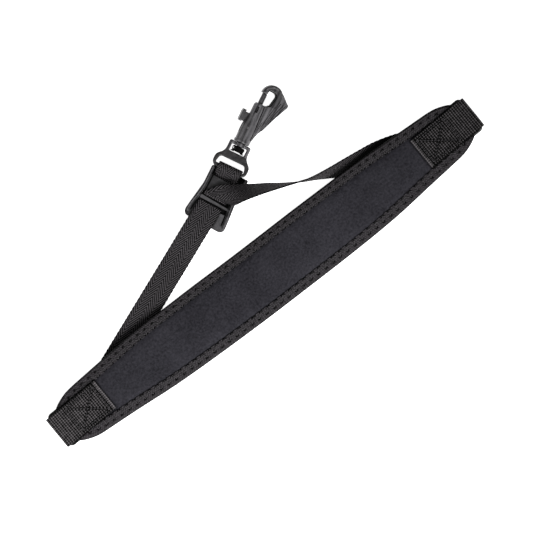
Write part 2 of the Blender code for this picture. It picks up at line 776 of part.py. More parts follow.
def build_slider(into, cutters, parent):
    """A plate with two slots either side of a crossbar, and a raised rail along each side."""
    edge = slider_side(GAP / 2)
    scoop = []
    for k in range(1, 6):
        y = edge[-1][1] * math.cos(math.pi * k / 6)
        scoop.append((SLIDER_HIGH - SCOOP * math.sin(math.pi * k / 6), y, 0.0))
    outline = fillet(list(edge) + scoop + [(x, -y, r) for x, y, r in reversed(edge)])
    slots = []
    for side in (-1, 1):
        near = side * CROSSBAR / 2
        far = side * (CROSSBAR / 2 + SLOT_LENGTH)
        reach = SLIDER_INSIDE + side * GAP / 2
        corner = SLOT_LENGTH / 4
        slots.append(fillet([
            (near, -reach, corner), (far, -reach, corner), (far, reach, corner), (near, reach, corner),
        ]))
    slider = plate("slider", [outline] + slots, PLATE_THICK, into)
    slider.data.transform(Matrix.Translation((0.0, 0.0, PLATE_BOTTOM + PLATE_THICK / 2)))
    for name, side, reach in (("rail_left", 1, RAIL_REACH[1]), ("rail_right", -1, RAIL_REACH[0])):
        combine(slider, build_rail(name, side, reach, cutters), "UNION")
    bar_end = SLIDER_INSIDE + RAIL_WIDTH / 2
    bar = turned("slider_crossbar", ((-bar_end, 0.55 * CROSSBAR), (bar_end, 0.55 * CROSSBAR)), cutters, 12)
    rise = Matrix.Translation((0.0, 0.0, PLATE_TOP - CROSSBAR / 8))
    bar.data.transform(rise @ Matrix.Rotation(math.pi / 2, 4, "Z"))
    combine(slider, bar, "UNION")
    for obj in [slider] + [m.object for m in slider.modifiers if m.type == "BOOLEAN"]:
        obj.parent = parent
    return finish(slider, "slider_plastic")


def build_rail(name, side, reach, into):
    """One raised rail, from beside the slider's rounded corner and on past its other end."""
    corner, flared, waist, high = slider_side(0.0)
    slope = (flared[1] - corner[1]) / (flared[0] - corner[0])
    back = (corner[0] + RAIL_SET_BACK, corner[1] + slope * RAIL_SET_BACK)
    slope = (high[1] - waist[1]) / (high[0] - waist[0])
    tip = (high[0] + reach, high[1] + slope * reach)
    outer = [(*back, 0.0010), flared, waist, (high[0], high[1], 0.012), (*tip, 0.0012)]
    inner = [(x, y - RAIL_WIDTH, r) for x, y, r in outer]
    outline = fillet([(x, side * y, r) for x, y, r in outer + list(reversed(inner))])
    height = RAIL_RISE + PLATE_THICK + RAIL_DROP
    rail = plate(name, [outline], height, into, 0.0009)
    rail.data.transform(Matrix.Translation((0.0, 0.0, PLATE_BOTTOM - RAIL_DROP + height / 2)))
    return rail


# Swivel eye

def build_swivel_eye(into, cutters, parent):
    """The wide loop for the webbing, the frame with its window, and the boss round the stem."""
    half = EYE_WIDTH / 2
    low = EYE_BAR_AT - EYE_BAR / 2
    frame_half = FRAME_WIDTH / 2
    outline = fillet(mirrored([
        (FRAME_FRONT, frame_half, 0.0014),
        (WINDOW_BACK - 0.0012, frame_half, 0.006),
        (EYE_SLOT_TOP, half, 0.0050),
        (low, half, 0.0050),
    ]))
    slot_low = EYE_BAR_AT + EYE_BAR / 2
    slot_half = EYE_SLOT_WIDTH / 2
    slot = fillet(mirrored([
        (EYE_SLOT_TOP, slot_half - 0.0012, 0.0024), (slot_low, slot_half + GAP / 2, 0.0008),
    ]))
    window = fillet(mirrored([
        (WINDOW_FRONT, WINDOW_WIDTH / 2, 0.0006), (WINDOW_BACK, WINDOW_WIDTH / 2, 0.0006),
    ]))
    eye = plate("swivel_eye", [outline, slot, window], EYE_THICK, into, 0.0009)
    boss = turned("eye_boss", ((WINDOW_FRONT, BOSS_RADIUS), (FRAME_FRONT, BOSS_RADIUS)), cutters)
    bore = turned("eye_bore",
                  ((WINDOW_FRONT - 0.001, STEM_RADIUS + GAP), (FRAME_FRONT + 0.001, STEM_RADIUS + GAP)),
                  cutters)
    combine(eye, boss, "UNION")
    combine(eye, bore, "DIFFERENCE")
    for obj in (eye, boss, bore):
        obj.parent = parent
    return finish(eye, "hook_plastic")


# Hook body

def hook_roll():
    """How far the hook turns about its axis until the edge of its fin comes down to the floor."""
    reach = math.hypot(FIN_REACH, FIN_THICK / 2)
    drop = HOOK_HEIGHT - GAP
    return math.asin(drop / reach) - math.atan2(FIN_THICK / 2, FIN_REACH)


def bow_arc(radius, start, end, steps=12):
    """Corners on an arc about the bow's centre, between two angles in degrees."""
    points = []
    for k in range(steps + 1):
        angle = math.radians(start + (end - start) * k / steps)
        points.append((BOW_CENTRE[0] + radius * math.cos(angle), BOW_CENTRE[1] + radius * math.sin(angle), 0.0))
    return points


def hook_opening():
    """Corners of the hook's opening, from the barrel's mouth round to the tip."""
    return [
        (TIP_AT, -0.0014, 0.0004),
        (0.0441, -0.0014, 0.0030),
        (0.0439, -0.0091, 0.0028),
        (0.0335, -0.0072, 0.0012),
        (BARREL_LENGTH + 0.0002, -0.0040, 0.0),
    ]


def build_hook_body(into, cutters, parent):
    """Collar, barrel, bow with its opening, ribs and fin, with the stem and its split head."""
    step = BARREL_LENGTH
    body = turned("hook_body", (
        (0.0, COLLAR_RADIUS - 0.0005), (0.0004, COLLAR_RADIUS), (0.0016, COLLAR_RADIUS),
        (0.0020, COLLAR_RADIUS - 0.0005), (0.31 * step, COLLAR_RADIUS - 0.0001), (0.45 * step, 0.0060),
        (0.70 * step, 0.0045), (0.74 * step, 0.0042), (0.96 * step, 0.0042), (step, 0.0034),
    ), into, 28)
    tools = []
    low_back = (0.10 * step, -0.0056, 0.0)
    back_in = [(0.85 * step, -0.0022, 0.0), (0.15 * step, -0.0022, 0.0)]
    bow = fillet([low_back, (0.53 * step, -0.0062, 0.0), (0.0385, -0.0118, 0.004)]
                 + bow_arc(BOW_RADIUS, -62, 86) + [(TIP_AT, BOW_CENTRE[1] + BOW_RADIUS, 0.0004)]
                 + hook_opening() + back_in)
    ribs = fillet([(0.06 * step, -0.0058, 0.0), (0.42 * step, -0.0076, 0.0), (0.0372, -0.0132, 0.004)]
                  + bow_arc(BOW_RADIUS, -72, 80) + [(TIP_AT + 0.0010, 0.0024, 0.0)]
                  + [(x + (0.0007 if x > TIP_AT else 0.0), y - 0.0005, r) for x, y, r in hook_opening()[1:]]
                  + back_in)
    fin = fillet([(0.05 * step, -0.0056, 0.0), (0.38 * step, -0.0085, 0.010), (0.0388, -FIN_REACH, 0.0016),
                  (0.0404, -FIN_REACH + 0.0004, 0.0010), (0.0452, -0.0128, 0.002), (0.0440, -0.0100, 0.0),
                  (0.0340, -0.0085, 0.0), (0.15 * step, -0.0040, 0.0)])
    for name, outline, thick, soft in (
        ("hook_bow", bow, BOW_THICK, 0.0009),
        ("hook_ribs", ribs, RIB_THICK, 0.0007),
        ("hook_fin", fin, FIN_THICK, 0.0006),
    ):
        tools.append((plate(name, [outline], thick, cutters, soft), "UNION"))
    stem_back = WINDOW_FRONT - GAP
    head_back = stem_back - HEAD_LENGTH
    stem = turned("hook_stem", (
        (head_back, HEAD_RADIUS - 0.0006), (head_back + 0.0006, HEAD_RADIUS), (stem_back, HEAD_RADIUS),
        (stem_back + 0.00001, STEM_RADIUS), (0.0010, STEM_RADIUS),
    ), cutters)
    tools.append((stem, "UNION"))
    bore = turned("bolt_bore", ((BOLT_BACK - BOLT_TRAVEL - 2 * GAP, BOLT_RADIUS + GAP),
                                (BARREL_LENGTH + 0.001, BOLT_RADIUS + GAP)), cutters)
    tools.append((bore, "DIFFERENCE"))
    neck_low = BOLT_BACK + 0.0022 - BOLT_TRAVEL - GAP
    neck_high = BOLT_BACK + 0.0022 + KNOB_LENGTH - 0.0010 + GAP
    reach = NECK_THICK / 2 + GAP
    slot = block("knob_slot", (neck_low, 0.0, -reach), (neck_high, 0.009, reach), cutters)
    window = block("bolt_window", (0.77 * step, 0.0, 0.0012), (0.93 * step, 0.0022, 0.006), cutters)
    tools += [(slot, "DIFFERENCE"), (window, "DIFFERENCE")]
    notch = block("head_notch", (-0.0011, -0.0011, -0.01), (0.0011, 0.0011, 0.01), cutters)
    middle = (head_back + stem_back) / 2
    notch.data.transform(Matrix.Translation((middle, HEAD_RADIUS, 0.0)) @ Matrix.Rotation(math.pi / 4, 4, "Z"))
    tools.append((notch, "DIFFERENCE"))
    for tool, operation in tools:
        combine(body, tool, operation)
        tool.parent = parent
    body.parent = parent
    return finish(body, "hook_plastic")


def build_hook_bolt(into, cutters, parent):
    """The bolt across the hook's mouth, with the neck and ridged knob that pull it back."""
    front = TIP_AT - GAP
    bolt = turned("hook_bolt", ((BOLT_BACK, BOLT_RADIUS - 0.0003), (BOLT_BACK + 0.0003, BOLT_RADIUS),
                                (front - 0.0003, BOLT_RADIUS), (front, BOLT_RADIUS - 0.0003)), into, 16)
    neck_back = BOLT_BACK + 0.0022
    neck = block("knob_neck", (neck_back, 0.0, -NECK_THICK / 2),
                 (neck_back + KNOB_LENGTH - 0.0010, 0.0086, NECK_THICK / 2), cutters)
    low = COLLAR_RADIUS + 0.0013
    knob = bevel(block("thumb_knob", (neck_back - 0.0005, low, -KNOB_WIDTH / 2),
                       (neck_back - 0.0005 + KNOB_LENGTH, low + KNOB_THICK, KNOB_WIDTH / 2), cutters), 0.0006)
    for tool in (neck, knob):
        combine(bolt, tool, "UNION")
        tool.parent = parent
    bolt.parent = parent
    return finish(bolt, "hook_plastic")


def empty(name, matrix, parent, into):
    """An empty that carries the pieces placed in its frame."""
    made = bpy.data.objects.new(name, None)
    into.objects.link(made)
    made.parent = parent
    made.matrix_local = matrix
    made.empty_display_size = 0.01
    return made


def centre_over_origin(root, parts):
    """Moves the root so that the box round all parts is centred over the world's origin."""
    bpy.context.view_layer.update()
    graph = bpy.context.evaluated_depsgraph_get()
    places = []
    for obj in parts:
        seen = obj.evaluated_get(graph)
        places += [seen.matrix_world @ vertex.co for vertex in seen.data.vertices]
    shift = Vector((0.0, 0.0, 0.0))
    for axis in (0, 1):
        values = [place[axis] for place in places]
        shift[axis] = -(min(values) + max(values)) / 2
    shift.z = -min(place.z for place in places)
    root.matrix_local = Matrix.Translation(shift)
    bpy.context.view_layer.update()


def main():
    for obj in list(bpy.data.objects):
        bpy.data.objects.remove(obj)
    parts = collection("neck_strap")
    cutters = collection("cutters")
    root = empty("strap_root", Matrix.Identity(4), None, parts)
    slider_frame = empty("slider_frame", frame_at(SLIDER_AT, SLIDER_HEADING), root, parts)
    level = frame_at(HOOK_AT, HOOK_HEADING) @ Matrix.Translation((0.0, 0.0, HOOK_HEIGHT))
    eye_frame = empty("eye_frame", level, root, parts)
    hook_axis = empty("hook_axis", level @ Matrix.Rotation(hook_roll(), 4, "X"), root, parts)
    made = [
        build_neck_pad(parts),
        build_edge_binding(parts),
        build_tab("tab_left", -1, parts),
        build_tab("tab_right", 1, parts),
        build_ring("ring_left", -1, parts),
        build_ring("ring_right", 1, parts),
        build_strap_webbing(parts),
    ]
    for obj in made:
        obj.parent = root
    made += [
        build_slider(parts, cutters, slider_frame),
        build_swivel_eye(parts, cutters, eye_frame),
        build_hook_body(parts, cutters, hook_axis),
        build_hook_bolt(parts, cutters, hook_axis),
    ]
    centre_over_origin(root, made)


main()
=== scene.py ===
"""Looks of a padded neck strap with a swivel snap hook, on a white studio floor.

Metres, +Z up. Every piece is made in the pad's own frame, whose origin is on the floor under the middle
of the pad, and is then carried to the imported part's frame.
"""

import json
import math

import bmesh
import bpy
import numpy as np
from mathutils import Matrix, Vector, noise


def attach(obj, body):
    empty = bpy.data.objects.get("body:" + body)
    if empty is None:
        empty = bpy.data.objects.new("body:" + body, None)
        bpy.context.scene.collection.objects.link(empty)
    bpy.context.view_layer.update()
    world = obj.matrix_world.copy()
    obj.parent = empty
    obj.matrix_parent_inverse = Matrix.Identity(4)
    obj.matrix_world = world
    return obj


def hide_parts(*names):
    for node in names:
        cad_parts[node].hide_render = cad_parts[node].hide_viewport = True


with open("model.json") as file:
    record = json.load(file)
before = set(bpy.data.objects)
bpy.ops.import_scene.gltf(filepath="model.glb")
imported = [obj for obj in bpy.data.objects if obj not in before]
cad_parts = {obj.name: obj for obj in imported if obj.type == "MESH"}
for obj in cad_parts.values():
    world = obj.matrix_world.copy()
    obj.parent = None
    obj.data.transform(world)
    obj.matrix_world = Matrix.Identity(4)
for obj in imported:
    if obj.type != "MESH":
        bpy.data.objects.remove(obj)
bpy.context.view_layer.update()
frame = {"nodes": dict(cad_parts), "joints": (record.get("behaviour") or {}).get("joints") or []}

# Sizes that the part gives, in metres
GAP = 0.0003
PAD_LENGTH = 0.378
PAD_WIDTH = 0.0534
PAD_THICK = 0.005
PAD_BOW = 0.0020
BINDING_WALL = 0.0007
TAB_WIDTH = 0.0262
TAB_THICK = 0.0014
TAB_SEWN = (0.0384, 0.0424)
TAB_TILT = math.radians(1.8)
RING_WIRE = 0.0021
RING_SPAN = 0.0135
RING_CORNER = 0.003
RING_PLAY = 0.0003
RING_OUT = 0.0057
WEB_WIDTH = 0.019
WEB_THICK = 0.0012
WEB_TAIL = 0.028
WEB_BEND = 0.012
SLIDER_AT = (0.0017, 0.0650)
SLIDER_HEADING = math.radians(23.5)
SLIDER_LOW = 0.0180
SLIDER_HIGH = 0.0187
PLATE_THICK = 0.0018
RAIL_RISE = 0.0015
CROSSBAR = 0.0023
SLOT_LENGTH = 0.0036
LEG_SIDE = 0.0017
LOOP_SIDE = 0.0010
LOOP_ON_BAR = -0.0009
HOOK_AT = (0.0454, 0.0880)
HOOK_HEADING = math.radians(26.6)
EYE_THICK = 0.0036
EYE_BAR = 0.0030
EYE_BAR_AT = -0.0224
COLLAR_RADIUS = 0.0063
BARREL_LENGTH = 0.0323
BOW_THICK = 0.0066
RIB_THICK = 0.0050
FIN_THICK = 0.0032
FIN_REACH = 0.0204
BOLT_BACK = 0.0130
TIP_AT = 0.0408
KNOB_LENGTH = 0.0084
KNOB_THICK = 0.0028

# Levels that follow from what is stacked on what
HOOK_HEIGHT = COLLAR_RADIUS + GAP
PAD_LIFT = 2 * WEB_THICK + RING_WIRE + TAB_THICK + 4 * GAP
PLATE_TOP = 2 * WEB_THICK + 3 * GAP + PLATE_THICK
RAIL_TOP = PLATE_TOP + RAIL_RISE
WEB_OVER = PLATE_TOP + GAP + WEB_THICK / 2
WEB_UNDER = GAP + WEB_THICK / 2
WEB_BACK = WEB_UNDER + WEB_THICK + GAP
RING_LOW = WEB_THICK + GAP + RING_WIRE / 2
RING_HIGH = PAD_LIFT + RING_WIRE / 2
RING_INNER = TAB_WIDTH + 2 * RING_PLAY
RING_WRAP = RING_WIRE / 2 + GAP + WEB_THICK / 2
SLOT_MIDDLE = CROSSBAR / 2 + SLOT_LENGTH / 2

# Shape of the pad, as in the part: share of the half length, and share of the size that it scales
PAD_SHAPE = (
    (0.00, 1.000), (0.20, 1.000), (0.40, 0.985), (0.52, 0.965), (0.60, 0.937), (0.68, 0.893),
    (0.76, 0.851), (0.84, 0.812), (0.88, 0.792), (0.915, 0.762), (0.95, 0.690), (0.985, 0.570),
    (1.00, 0.470),
)
PAD_FILL = ((0.00, 1.00), (0.60, 1.00), (0.80, 0.82), (1.00, 0.72))
PAD_RISE = (
    (-1.00, 1.00), (-0.80, 0.76), (-0.60, 0.50), (-0.42, 0.32), (-0.30, 0.17), (-0.15, 0.0),
    (0.14, 0.0), (0.30, 0.45), (0.44, 0.97), (0.52, 1.13), (0.60, 1.12), (0.80, 1.02), (1.00, 1.00),
)
PAD_BEND = (
    (-1.00, 0.0), (-0.80, 0.05), (-0.32, -0.62), (0.00, -1.00), (0.32, -1.00), (0.80, -0.38), (1.00, 0.0),
)

# The pad's edge, as in the part: the panel's rim stands inside the binding's wall, its nose is rounded by
# this much, and its heights are shares of the pad's thickness there
CORE_WALL = BINDING_WALL + GAP
NOSE = 2.6 * GAP
RIM_HEIGHT = 0.38
NOSE_HEIGHT = 0.52
MIDDLE_HEIGHT = 0.62
INNER_HEIGHT = 0.70

# Right leg of the webbing, as in the part: share of the way, share of it to the left, how far it still
# lies as it left the slot, how far it lies as the ring does, roll in degrees, low edge as a share of the
# rails' height
RIGHT_LEG = (
    (0.000, 0.0000, 1.00, 0.00, 0.0, 0.91),
    (0.016, 0.0014, 0.86, 0.00, -1.0, 0.94),
    (0.034, 0.0005, 0.58, 0.00, -4.0, 1.00),
    (0.055, -0.0019, 0.34, 0.00, -11.0, 1.05),
    (0.085, -0.0057, 0.24, 0.00, -34.0, 1.12),
    (0.120, -0.0095, 0.19, 0.00, -48.5, 1.16),
    (0.152, -0.0132, 0.15, 0.00, -57.0, 1.14),
    (0.185, -0.0165, 0.14, 0.00, -64.0, 0.92),
    (0.218, -0.0200, 0.12, 0.00, -69.5, 0.64),
    (0.258, -0.0256, 0.09, 0.00, -77.5, 0.40),
    (0.299, -0.0308, 0.07, 0.00, -84.5, 0.20),
    (0.340, -0.0349, 0.04, 0.00, -90.0, 0.06),
    (0.378, -0.0374, 0.02, 0.00, -94.0, 0.00),
    (0.412, -0.0371, 0.00, 0.00, -100.0, 0.00),
    (0.446, -0.0367, 0.00, 0.00, -108.5, 0.00),
    (0.480, -0.0364, 0.00, 0.00, -118.0, 0.00),
    (0.515, -0.0358, 0.00, 0.00, -129.5, 0.00),
    (0.550, -0.0343, 0.00, 0.05, -141.0, 0.00),
    (0.584, -0.0310, 0.00, 0.15, -151.0, 0.00),
    (0.618, -0.0263, 0.00, 0.22, -158.5, 0.00),
    (0.654, -0.0207, 0.00, 0.25, -166.0, 0.00),
    (0.702, -0.0162, 0.00, 0.15, -173.0, 0.00),
    (0.745, -0.0145, 0.00, 0.05, -178.0, 0.00),
    (0.800, -0.0142, 0.00, 0.05, -180.0, 0.00),
    (0.870, -0.0170, 0.00, 0.25, -180.0, 0.00),
    (0.940, -0.0195, 0.00, 0.70, -180.0, 0.00),
    (1.000, 0.0000, 0.00, 1.00, -180.0, 0.00),
)
RIGHT_STEPS = 56

# Fineness and detail of the looks, in metres. Less of the binding shows than the part has, because its
# inner edge is sewn in under the roll of the panel.
BINDING_WIDTH = 0.0079
EDGE_STEP = 0.0009
STITCH_PITCH = 0.0071
STITCH_ROWS = ((0.0036, 0.0, 0.0010, 0.00065), (0.0075, 0.5, 0.0014, 0.00055))
STITCH_DEPTH = 0.0006
RIPPLE_RISE = 0.00008
PUCKER_DIP = 0.00010
THREAD_RADIUS = 0.00020
RIM_RIB = 0.0019
TAB_RIB = 0.0019
TAB_RIB_DEPTH = 0.00022
TAB_STITCH = 0.0026
SELVEDGE_PITCH = 0.0037
SELVEDGE_DEPTH = 0.00026
TWILL_STRIPE = 0.0053
TWILL_PITCH = 0.0031
TWILL_ANGLE = math.radians(26)
ROLL_REACH = 0.0016
YARN_PITCH = 0.0017
STITCH_FADE = 0.0008

# The panel's crown and the foot of its roll, as shares of its thickness, and the scale of the fibres' noise
CROWN = 0.13
ROLL_FOOT = 0.72
FIBRE_SCALE = 620.0

# Detail of the slider, in its own frame, with x towards the hook
RAIL_PLAN = (
    (-0.0130, 0.0155), (-0.0063, 0.0148), (0.0010, 0.0134), (0.0085, 0.0127), (SLIDER_HIGH, 0.0131),
)
RAIL_TIP = 0.0134
RAIL_REACHES = ((1, 0.0052), (-1, 0.0072))
SLOT_REACH = 0.0022
WEB_SHEET = 0.0006
# Corner of the slider's plate beyond which its painted highlight lies, in its own frame
LIT_CORNER = (-0.0045, -0.0085)

# Detail of the hook, in its own frame: x along its axis, y away from its fin, z out of its flank. Each
# ridge or groove has how far out it ends, the hook's thickness there and where it starts.
FLANK_FOOT = (0.0020, -0.0052)
FLANK_LENGTH = 0.0380
RIDGES = (
    (-0.0104, RIB_THICK, 0.006), (-0.0130, RIB_THICK, 0.010),
    (-0.0150, FIN_THICK, 0.012), (-0.0172, FIN_THICK, 0.012), (-0.0192, FIN_THICK, 0.014),
)
RIDGE_END = 0.0395
GROOVES = (
    (-0.0091, RIB_THICK, 0.008), (-0.0117, RIB_THICK, 0.009),
    (-0.0141, FIN_THICK, 0.014), (-0.0161, FIN_THICK, 0.013), (-0.0182, FIN_THICK, 0.014),
)
GROOVE_END = 0.0390
BEND_AT = (0.0412, -0.0054)
BEND_RADIUS = 0.0070
HEAD_AT = -0.0080
WASHER_RADIUS = 0.0058
GATE_MARK = ((0.0125, 0.0020, 0.0054), (0.0125, 0.0020, 0.0062))
FIN_EDGE = ((0.0478, -0.0094, 0.0), (0.0449, -0.0133, 0.0), (0.0409, -0.0184, 0.0))
BARREL_ROUND = ((0.0030, 0.0062), (0.0145, 0.0060), (0.0226, 0.0045), (0.0310, 0.0042))
BOW_FROM = 0.0335
BOW_LOW = -0.0125
FIN_FROM = -0.0100
OPENING = (0.0331, 0.0447)
OPENING_TOP = -0.0021
SILL_AT = -0.0072
SILL_SLOPE = 0.183
EYE_FRAME_AT = -0.0092
NECK_BACK = BOLT_BACK + 0.0022
KNOB_LIFT = 0.0013

# Edges of the mouldings are softened over a few of these cells
FINE_CELL = 0.00022
CELL = 0.00024

# The pad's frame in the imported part, from where the hook's swivel is
swivel = next(joint for joint in frame["joints"] if joint["name"] == "hook_swivel")
ROOT = Vector(swivel["pos_m"]) - Vector((*HOOK_AT, HOOK_HEIGHT))


# Shapes

def eased(t, width, near, far, leaving, arriving):
    """The value at t, from 0 to 1, on a smooth cubic between two values with these slopes."""
    start = (1 + 2 * t) * (1 - t) ** 2 * near + t * (1 - t) ** 2 * width * leaving
    return start + (t * t * (3 - 2 * t) * far + t * t * (t - 1) * width * arriving)


def along(rows, at, column=1):
    """The smooth value of a table's column at this place, with no overshoot between its rows."""
    places = [row[0] for row in rows]
    values = [row[column] for row in rows]
    at = min(max(at, places[0]), places[-1])
    k = max(i for i in range(len(rows) - 1) if places[i] <= at)
    slopes = [(values[i + 1] - values[i]) / (places[i + 1] - places[i]) for i in range(len(rows) - 1)]

    def tangent(i):
        if i == 0 or i == len(rows) - 1:
            return slopes[min(i, len(slopes) - 1)]
        if slopes[i - 1] * slopes[i] <= 0:
            return 0.0
        return 2 * slopes[i - 1] * slopes[i] / (slopes[i - 1] + slopes[i])

    width = places[k + 1] - places[k]
    return eased((at - places[k]) / width, width, values[k], values[k + 1], tangent(k), tangent(k + 1))


def bell(off, reach):
    """A smooth peak of 1 that fades out over this reach."""
    return math.exp(-(off / reach) ** 2)


def clamp(share):
    """The share, kept from 0 to 1."""
    return min(1.0, max(0.0, share))


def azimuth(angle):
    """The level unit vector at this angle from +X."""
    return Vector((math.cos(angle), math.sin(angle), 0.0))


def frame_at(place, heading):
    """The matrix of a level frame at this place of the floor, with its x axis along the heading."""
    return Matrix.Translation((place[0], place[1], 0.0)) @ Matrix.Rotation(heading, 4, "Z")


def fillet(corners, closed=True, arc_step=math.radians(12)):
    """An outline with round corners, from corners of (x, y, radius)."""
    points = []
    count = len(corners)
    for i, (x, y, radius) in enumerate(corners):
        here = Vector((x, y))
        if radius == 0 or (not closed and i in (0, count - 1)):
            points.append(here)
            continue
        back = Vector(corners[i - 1][:2]) - here
        on = Vector(corners[(i + 1) % count][:2]) - here
        half = back.angle(on) / 2
        reach = min(radius / math.tan(half), 0.49 * back.length, 0.49 * on.length)
        radius = reach * math.tan(half)
        start = here + back.normalized() * reach
        end = here + on.normalized() * reach
        centre = here + (back.normalized() + on.normalized()).normalized() * (radius / math.sin(half))
        arm = start - centre
        sweep = math.pi - 2 * half
        sense = 1 if arm.cross(end - centre) > 0 else -1
        steps = max(2, math.ceil(sweep / arc_step))
        for k in range(steps + 1):
            turn = sense * sweep * k / steps
            points.append(centre + Vector((
                arm.x * math.cos(turn) - arm.y * math.sin(turn),
                arm.x * math.sin(turn) + arm.y * math.cos(turn),
            )))
    return points


def add_object(name, data):
    """A new object in the scene."""
    made = bpy.data.objects.new(name, data)
    bpy.context.scene.collection.objects.link(made)
    return made


def show(name, verts, faces, look, body, weave=None):
    """A smooth piece from its points in the pad's frame, riding on a body. weave places its cloth and its
    painted shade.
    """
    mesh = bpy.data.meshes.new(name)
    mesh.from_pydata([tuple(v) for v in verts], [], faces)
    if weave is not None:
        laid = mesh.attributes.new("weave", "FLOAT_VECTOR", "POINT")
        laid.data.foreach_set("vector", np.array(weave, np.float32).ravel())
    tidy = bmesh.new()
    tidy.from_mesh(mesh)
    bmesh.ops.recalc_face_normals(tidy, faces=tidy.faces)
    tidy.to_mesh(mesh)
    tidy.free()
    mesh.shade_smooth()
    mesh.set_sharp_from_angle(angle=math.radians(50))
    mesh.materials.append(look)
    obj = add_object(name, mesh)
    obj.data.transform(Matrix.Translation(ROOT))
    for vertex in obj.data.vertices:
        vertex.co.z = max(vertex.co.z, 0.0)
    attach(obj, body)
    return obj


def skin_faces(rows, columns, loop=False, caps=True):
    """Faces between closed rings of points, with flat caps or the last ring joined to the first."""
    faces = []
    for i in range(rows if loop else rows - 1):
        near = i * columns
        far = ((i + 1) % rows) * columns
        for j in range(columns):
            on = (j + 1) % columns
            faces.append((near + j, near + on, far + on, far + j))
    if caps and not loop:
        faces.append(tuple(range(columns)))
        faces.append(tuple(range((rows - 1) * columns, rows * columns)))
    return faces


def gathered(parts):
    """Points and faces of several parts as one."""
    verts = []
    faces = []
    for part_verts, part_faces in parts:
        first = len(verts)
        verts += part_verts
        faces += [tuple(first + i for i in face) for face in part_faces]
    return verts, faces


def tube(path, radius, sides=6, closed=False):
    """Points and faces of a round tube along a path, thinner at open ends."""
    path = [Vector(p) for p in path]
    last = len(path) - 1
    verts = []
    for k, centre in enumerate(path):
        if closed:
            way = path[(k + 1) % len(path)] - path[k - 1]
        else:
            way = path[min(k + 1, last)] - path[max(k - 1, 0)]
        way.normalize()
        side = way.cross(Vector((0.0, 0.0, 1.0)))
        side = side.normalized() if side.length > 0.01 else Vector((0.0, 1.0, 0.0))
        up = side.cross(way)
        size = radius * (0.6 if not closed and k in (0, last) else 1.0)
        for j in range(sides):
            angle = 2 * math.pi * j / sides
            verts.append(centre + (side * math.cos(angle) + up * math.sin(angle)) * size)
    return verts, skin_faces(len(path), sides, loop=closed)


def show_tubes(name, paths, radius, look, body, sides=6, closed=False):
    """Several tubes as one piece, each with its own length along it as the cloth's place."""
    verts, faces = gathered(tube(path, radius, sides, closed) for path in paths)
    weave = []
    for path in paths:
        distance = 0.0
        for k, point in enumerate(path):
            if k:
                distance += (Vector(point) - Vector(path[k - 1])).length
            weave += [(distance, 2 * math.pi * radius * j / sides, 0.0) for j in range(sides)]
    return show(name, verts, faces, look, body, weave)


def resampled(stations, step):
    """Stations of (centre, across) at a finer spacing along the same smooth route, with their distances."""
    centres = np.array([tuple(centre) for centre, across in stations])
    acrosses = np.array([tuple(across.normalized()) for centre, across in stations])
    keep = [0]
    for k in range(1, len(centres)):
        if np.linalg.norm(centres[k] - centres[keep[-1]]) > 0.00005:
            keep.append(k)
    centres = centres[keep]
    acrosses = acrosses[keep]
    spans = np.linalg.norm(np.diff(centres, axis=0), axis=1)
    places = np.concatenate([[0.0], np.cumsum(spans)])
    slopes = np.gradient(centres, places, axis=0)
    fine = []
    for k, span in enumerate(spans):
        parts = max(2, math.ceil(span / step))
        for t in np.arange(parts) / parts:
            centre = eased(t, span, centres[k], centres[k + 1], slopes[k], slopes[k + 1])
            across = acrosses[k] * (1 - t) + acrosses[k + 1] * t
            fine.append((Vector(centre), Vector(across).normalized(), places[k] + t * span))
    fine.append((Vector(centres[-1]), Vector(acrosses[-1]), places[-1]))
    return fine


def webbing_section(width, thick, columns):
    """The section of a webbing as (across, up) with round selvedges, and which face each point is on."""
    half = thick / 2
    flat = width / 2 - half
    top = [(-flat + 2 * flat * j / (columns - 1), half, 1) for j in range(columns)]
    turns = (math.pi * k / 4 for k in (1, 2, 3))
    right = [(flat + half * math.sin(a), half * math.cos(a), 0) for a in turns]
    bottom = [(-x, -y, -1) for x, y, _ in top]
    left = [(-x, -y, 0) for x, y, _ in right]
    return top + right + bottom + left


def show_webbing(name, stations, width, thick, look, body, step, columns, relief, shade=None):
    """A webbing along stations. relief gives (proud of its face, wider, painted shade) at (along, across,
    face).

    shade gives how much painted shade darkens a place because of what lies beside it.
    """
    fine = resampled(stations, step)
    section = webbing_section(width, thick, columns)
    verts = []
    weave = []
    last = len(fine) - 1
    for k, (centre, across, distance) in enumerate(fine):
        way = (fine[min(k + 1, last)][0] - fine[max(k - 1, 0)][0]).normalized()
        up = way.cross(across).normalized()
        for x, y, face in section:
            proud, wider, dark = relief(distance, x, face)
            verts.append(centre + across * (x + math.copysign(wider, x)) + up * (y + face * proud))
            if shade:
                dark += shade(verts[-1])
            weave.append((distance, x, dark))
    return show(name, verts, skin_faces(len(fine), len(section)), look, body, weave)


# Materials

def new_material(name, roughness, specular):
    """A material with its constants set, and its node tree and shader."""
    made = bpy.data.materials.new(name)
    made.use_nodes = True
    tree = made.node_tree
    shader = tree.nodes["Principled BSDF"]
    shader.inputs["Roughness"].default_value = roughness
    shader.inputs["Specular IOR Level"].default_value = specular
    return made, tree, shader


def node(tree, kind, sources=(), **settings):
    """A node with its settings and its inputs linked or set, and its first output."""
    made = tree.nodes.new(kind)
    for key, value in settings.items():
        setattr(made, key, value)
    for key, source in dict(sources).items():
        if isinstance(source, bpy.types.NodeSocket):
            tree.links.new(source, made.inputs[key])
        else:
            made.inputs[key].default_value = source
    return made.outputs[0]


def calc(tree, operation, first, second=0.0, third=0.0):
    """The result of a Math node."""
    return node(tree, "ShaderNodeMath", {0: first, 1: second, 2: third}, operation=operation)


def wave(tree, distance, pitch):
    """A sine wave between 0 and 1 with this pitch along a distance."""
    turn = calc(tree, "MULTIPLY", distance, 2 * math.pi / pitch)
    return calc(tree, "MULTIPLY_ADD", calc(tree, "SINE", turn), 0.5, 0.5)


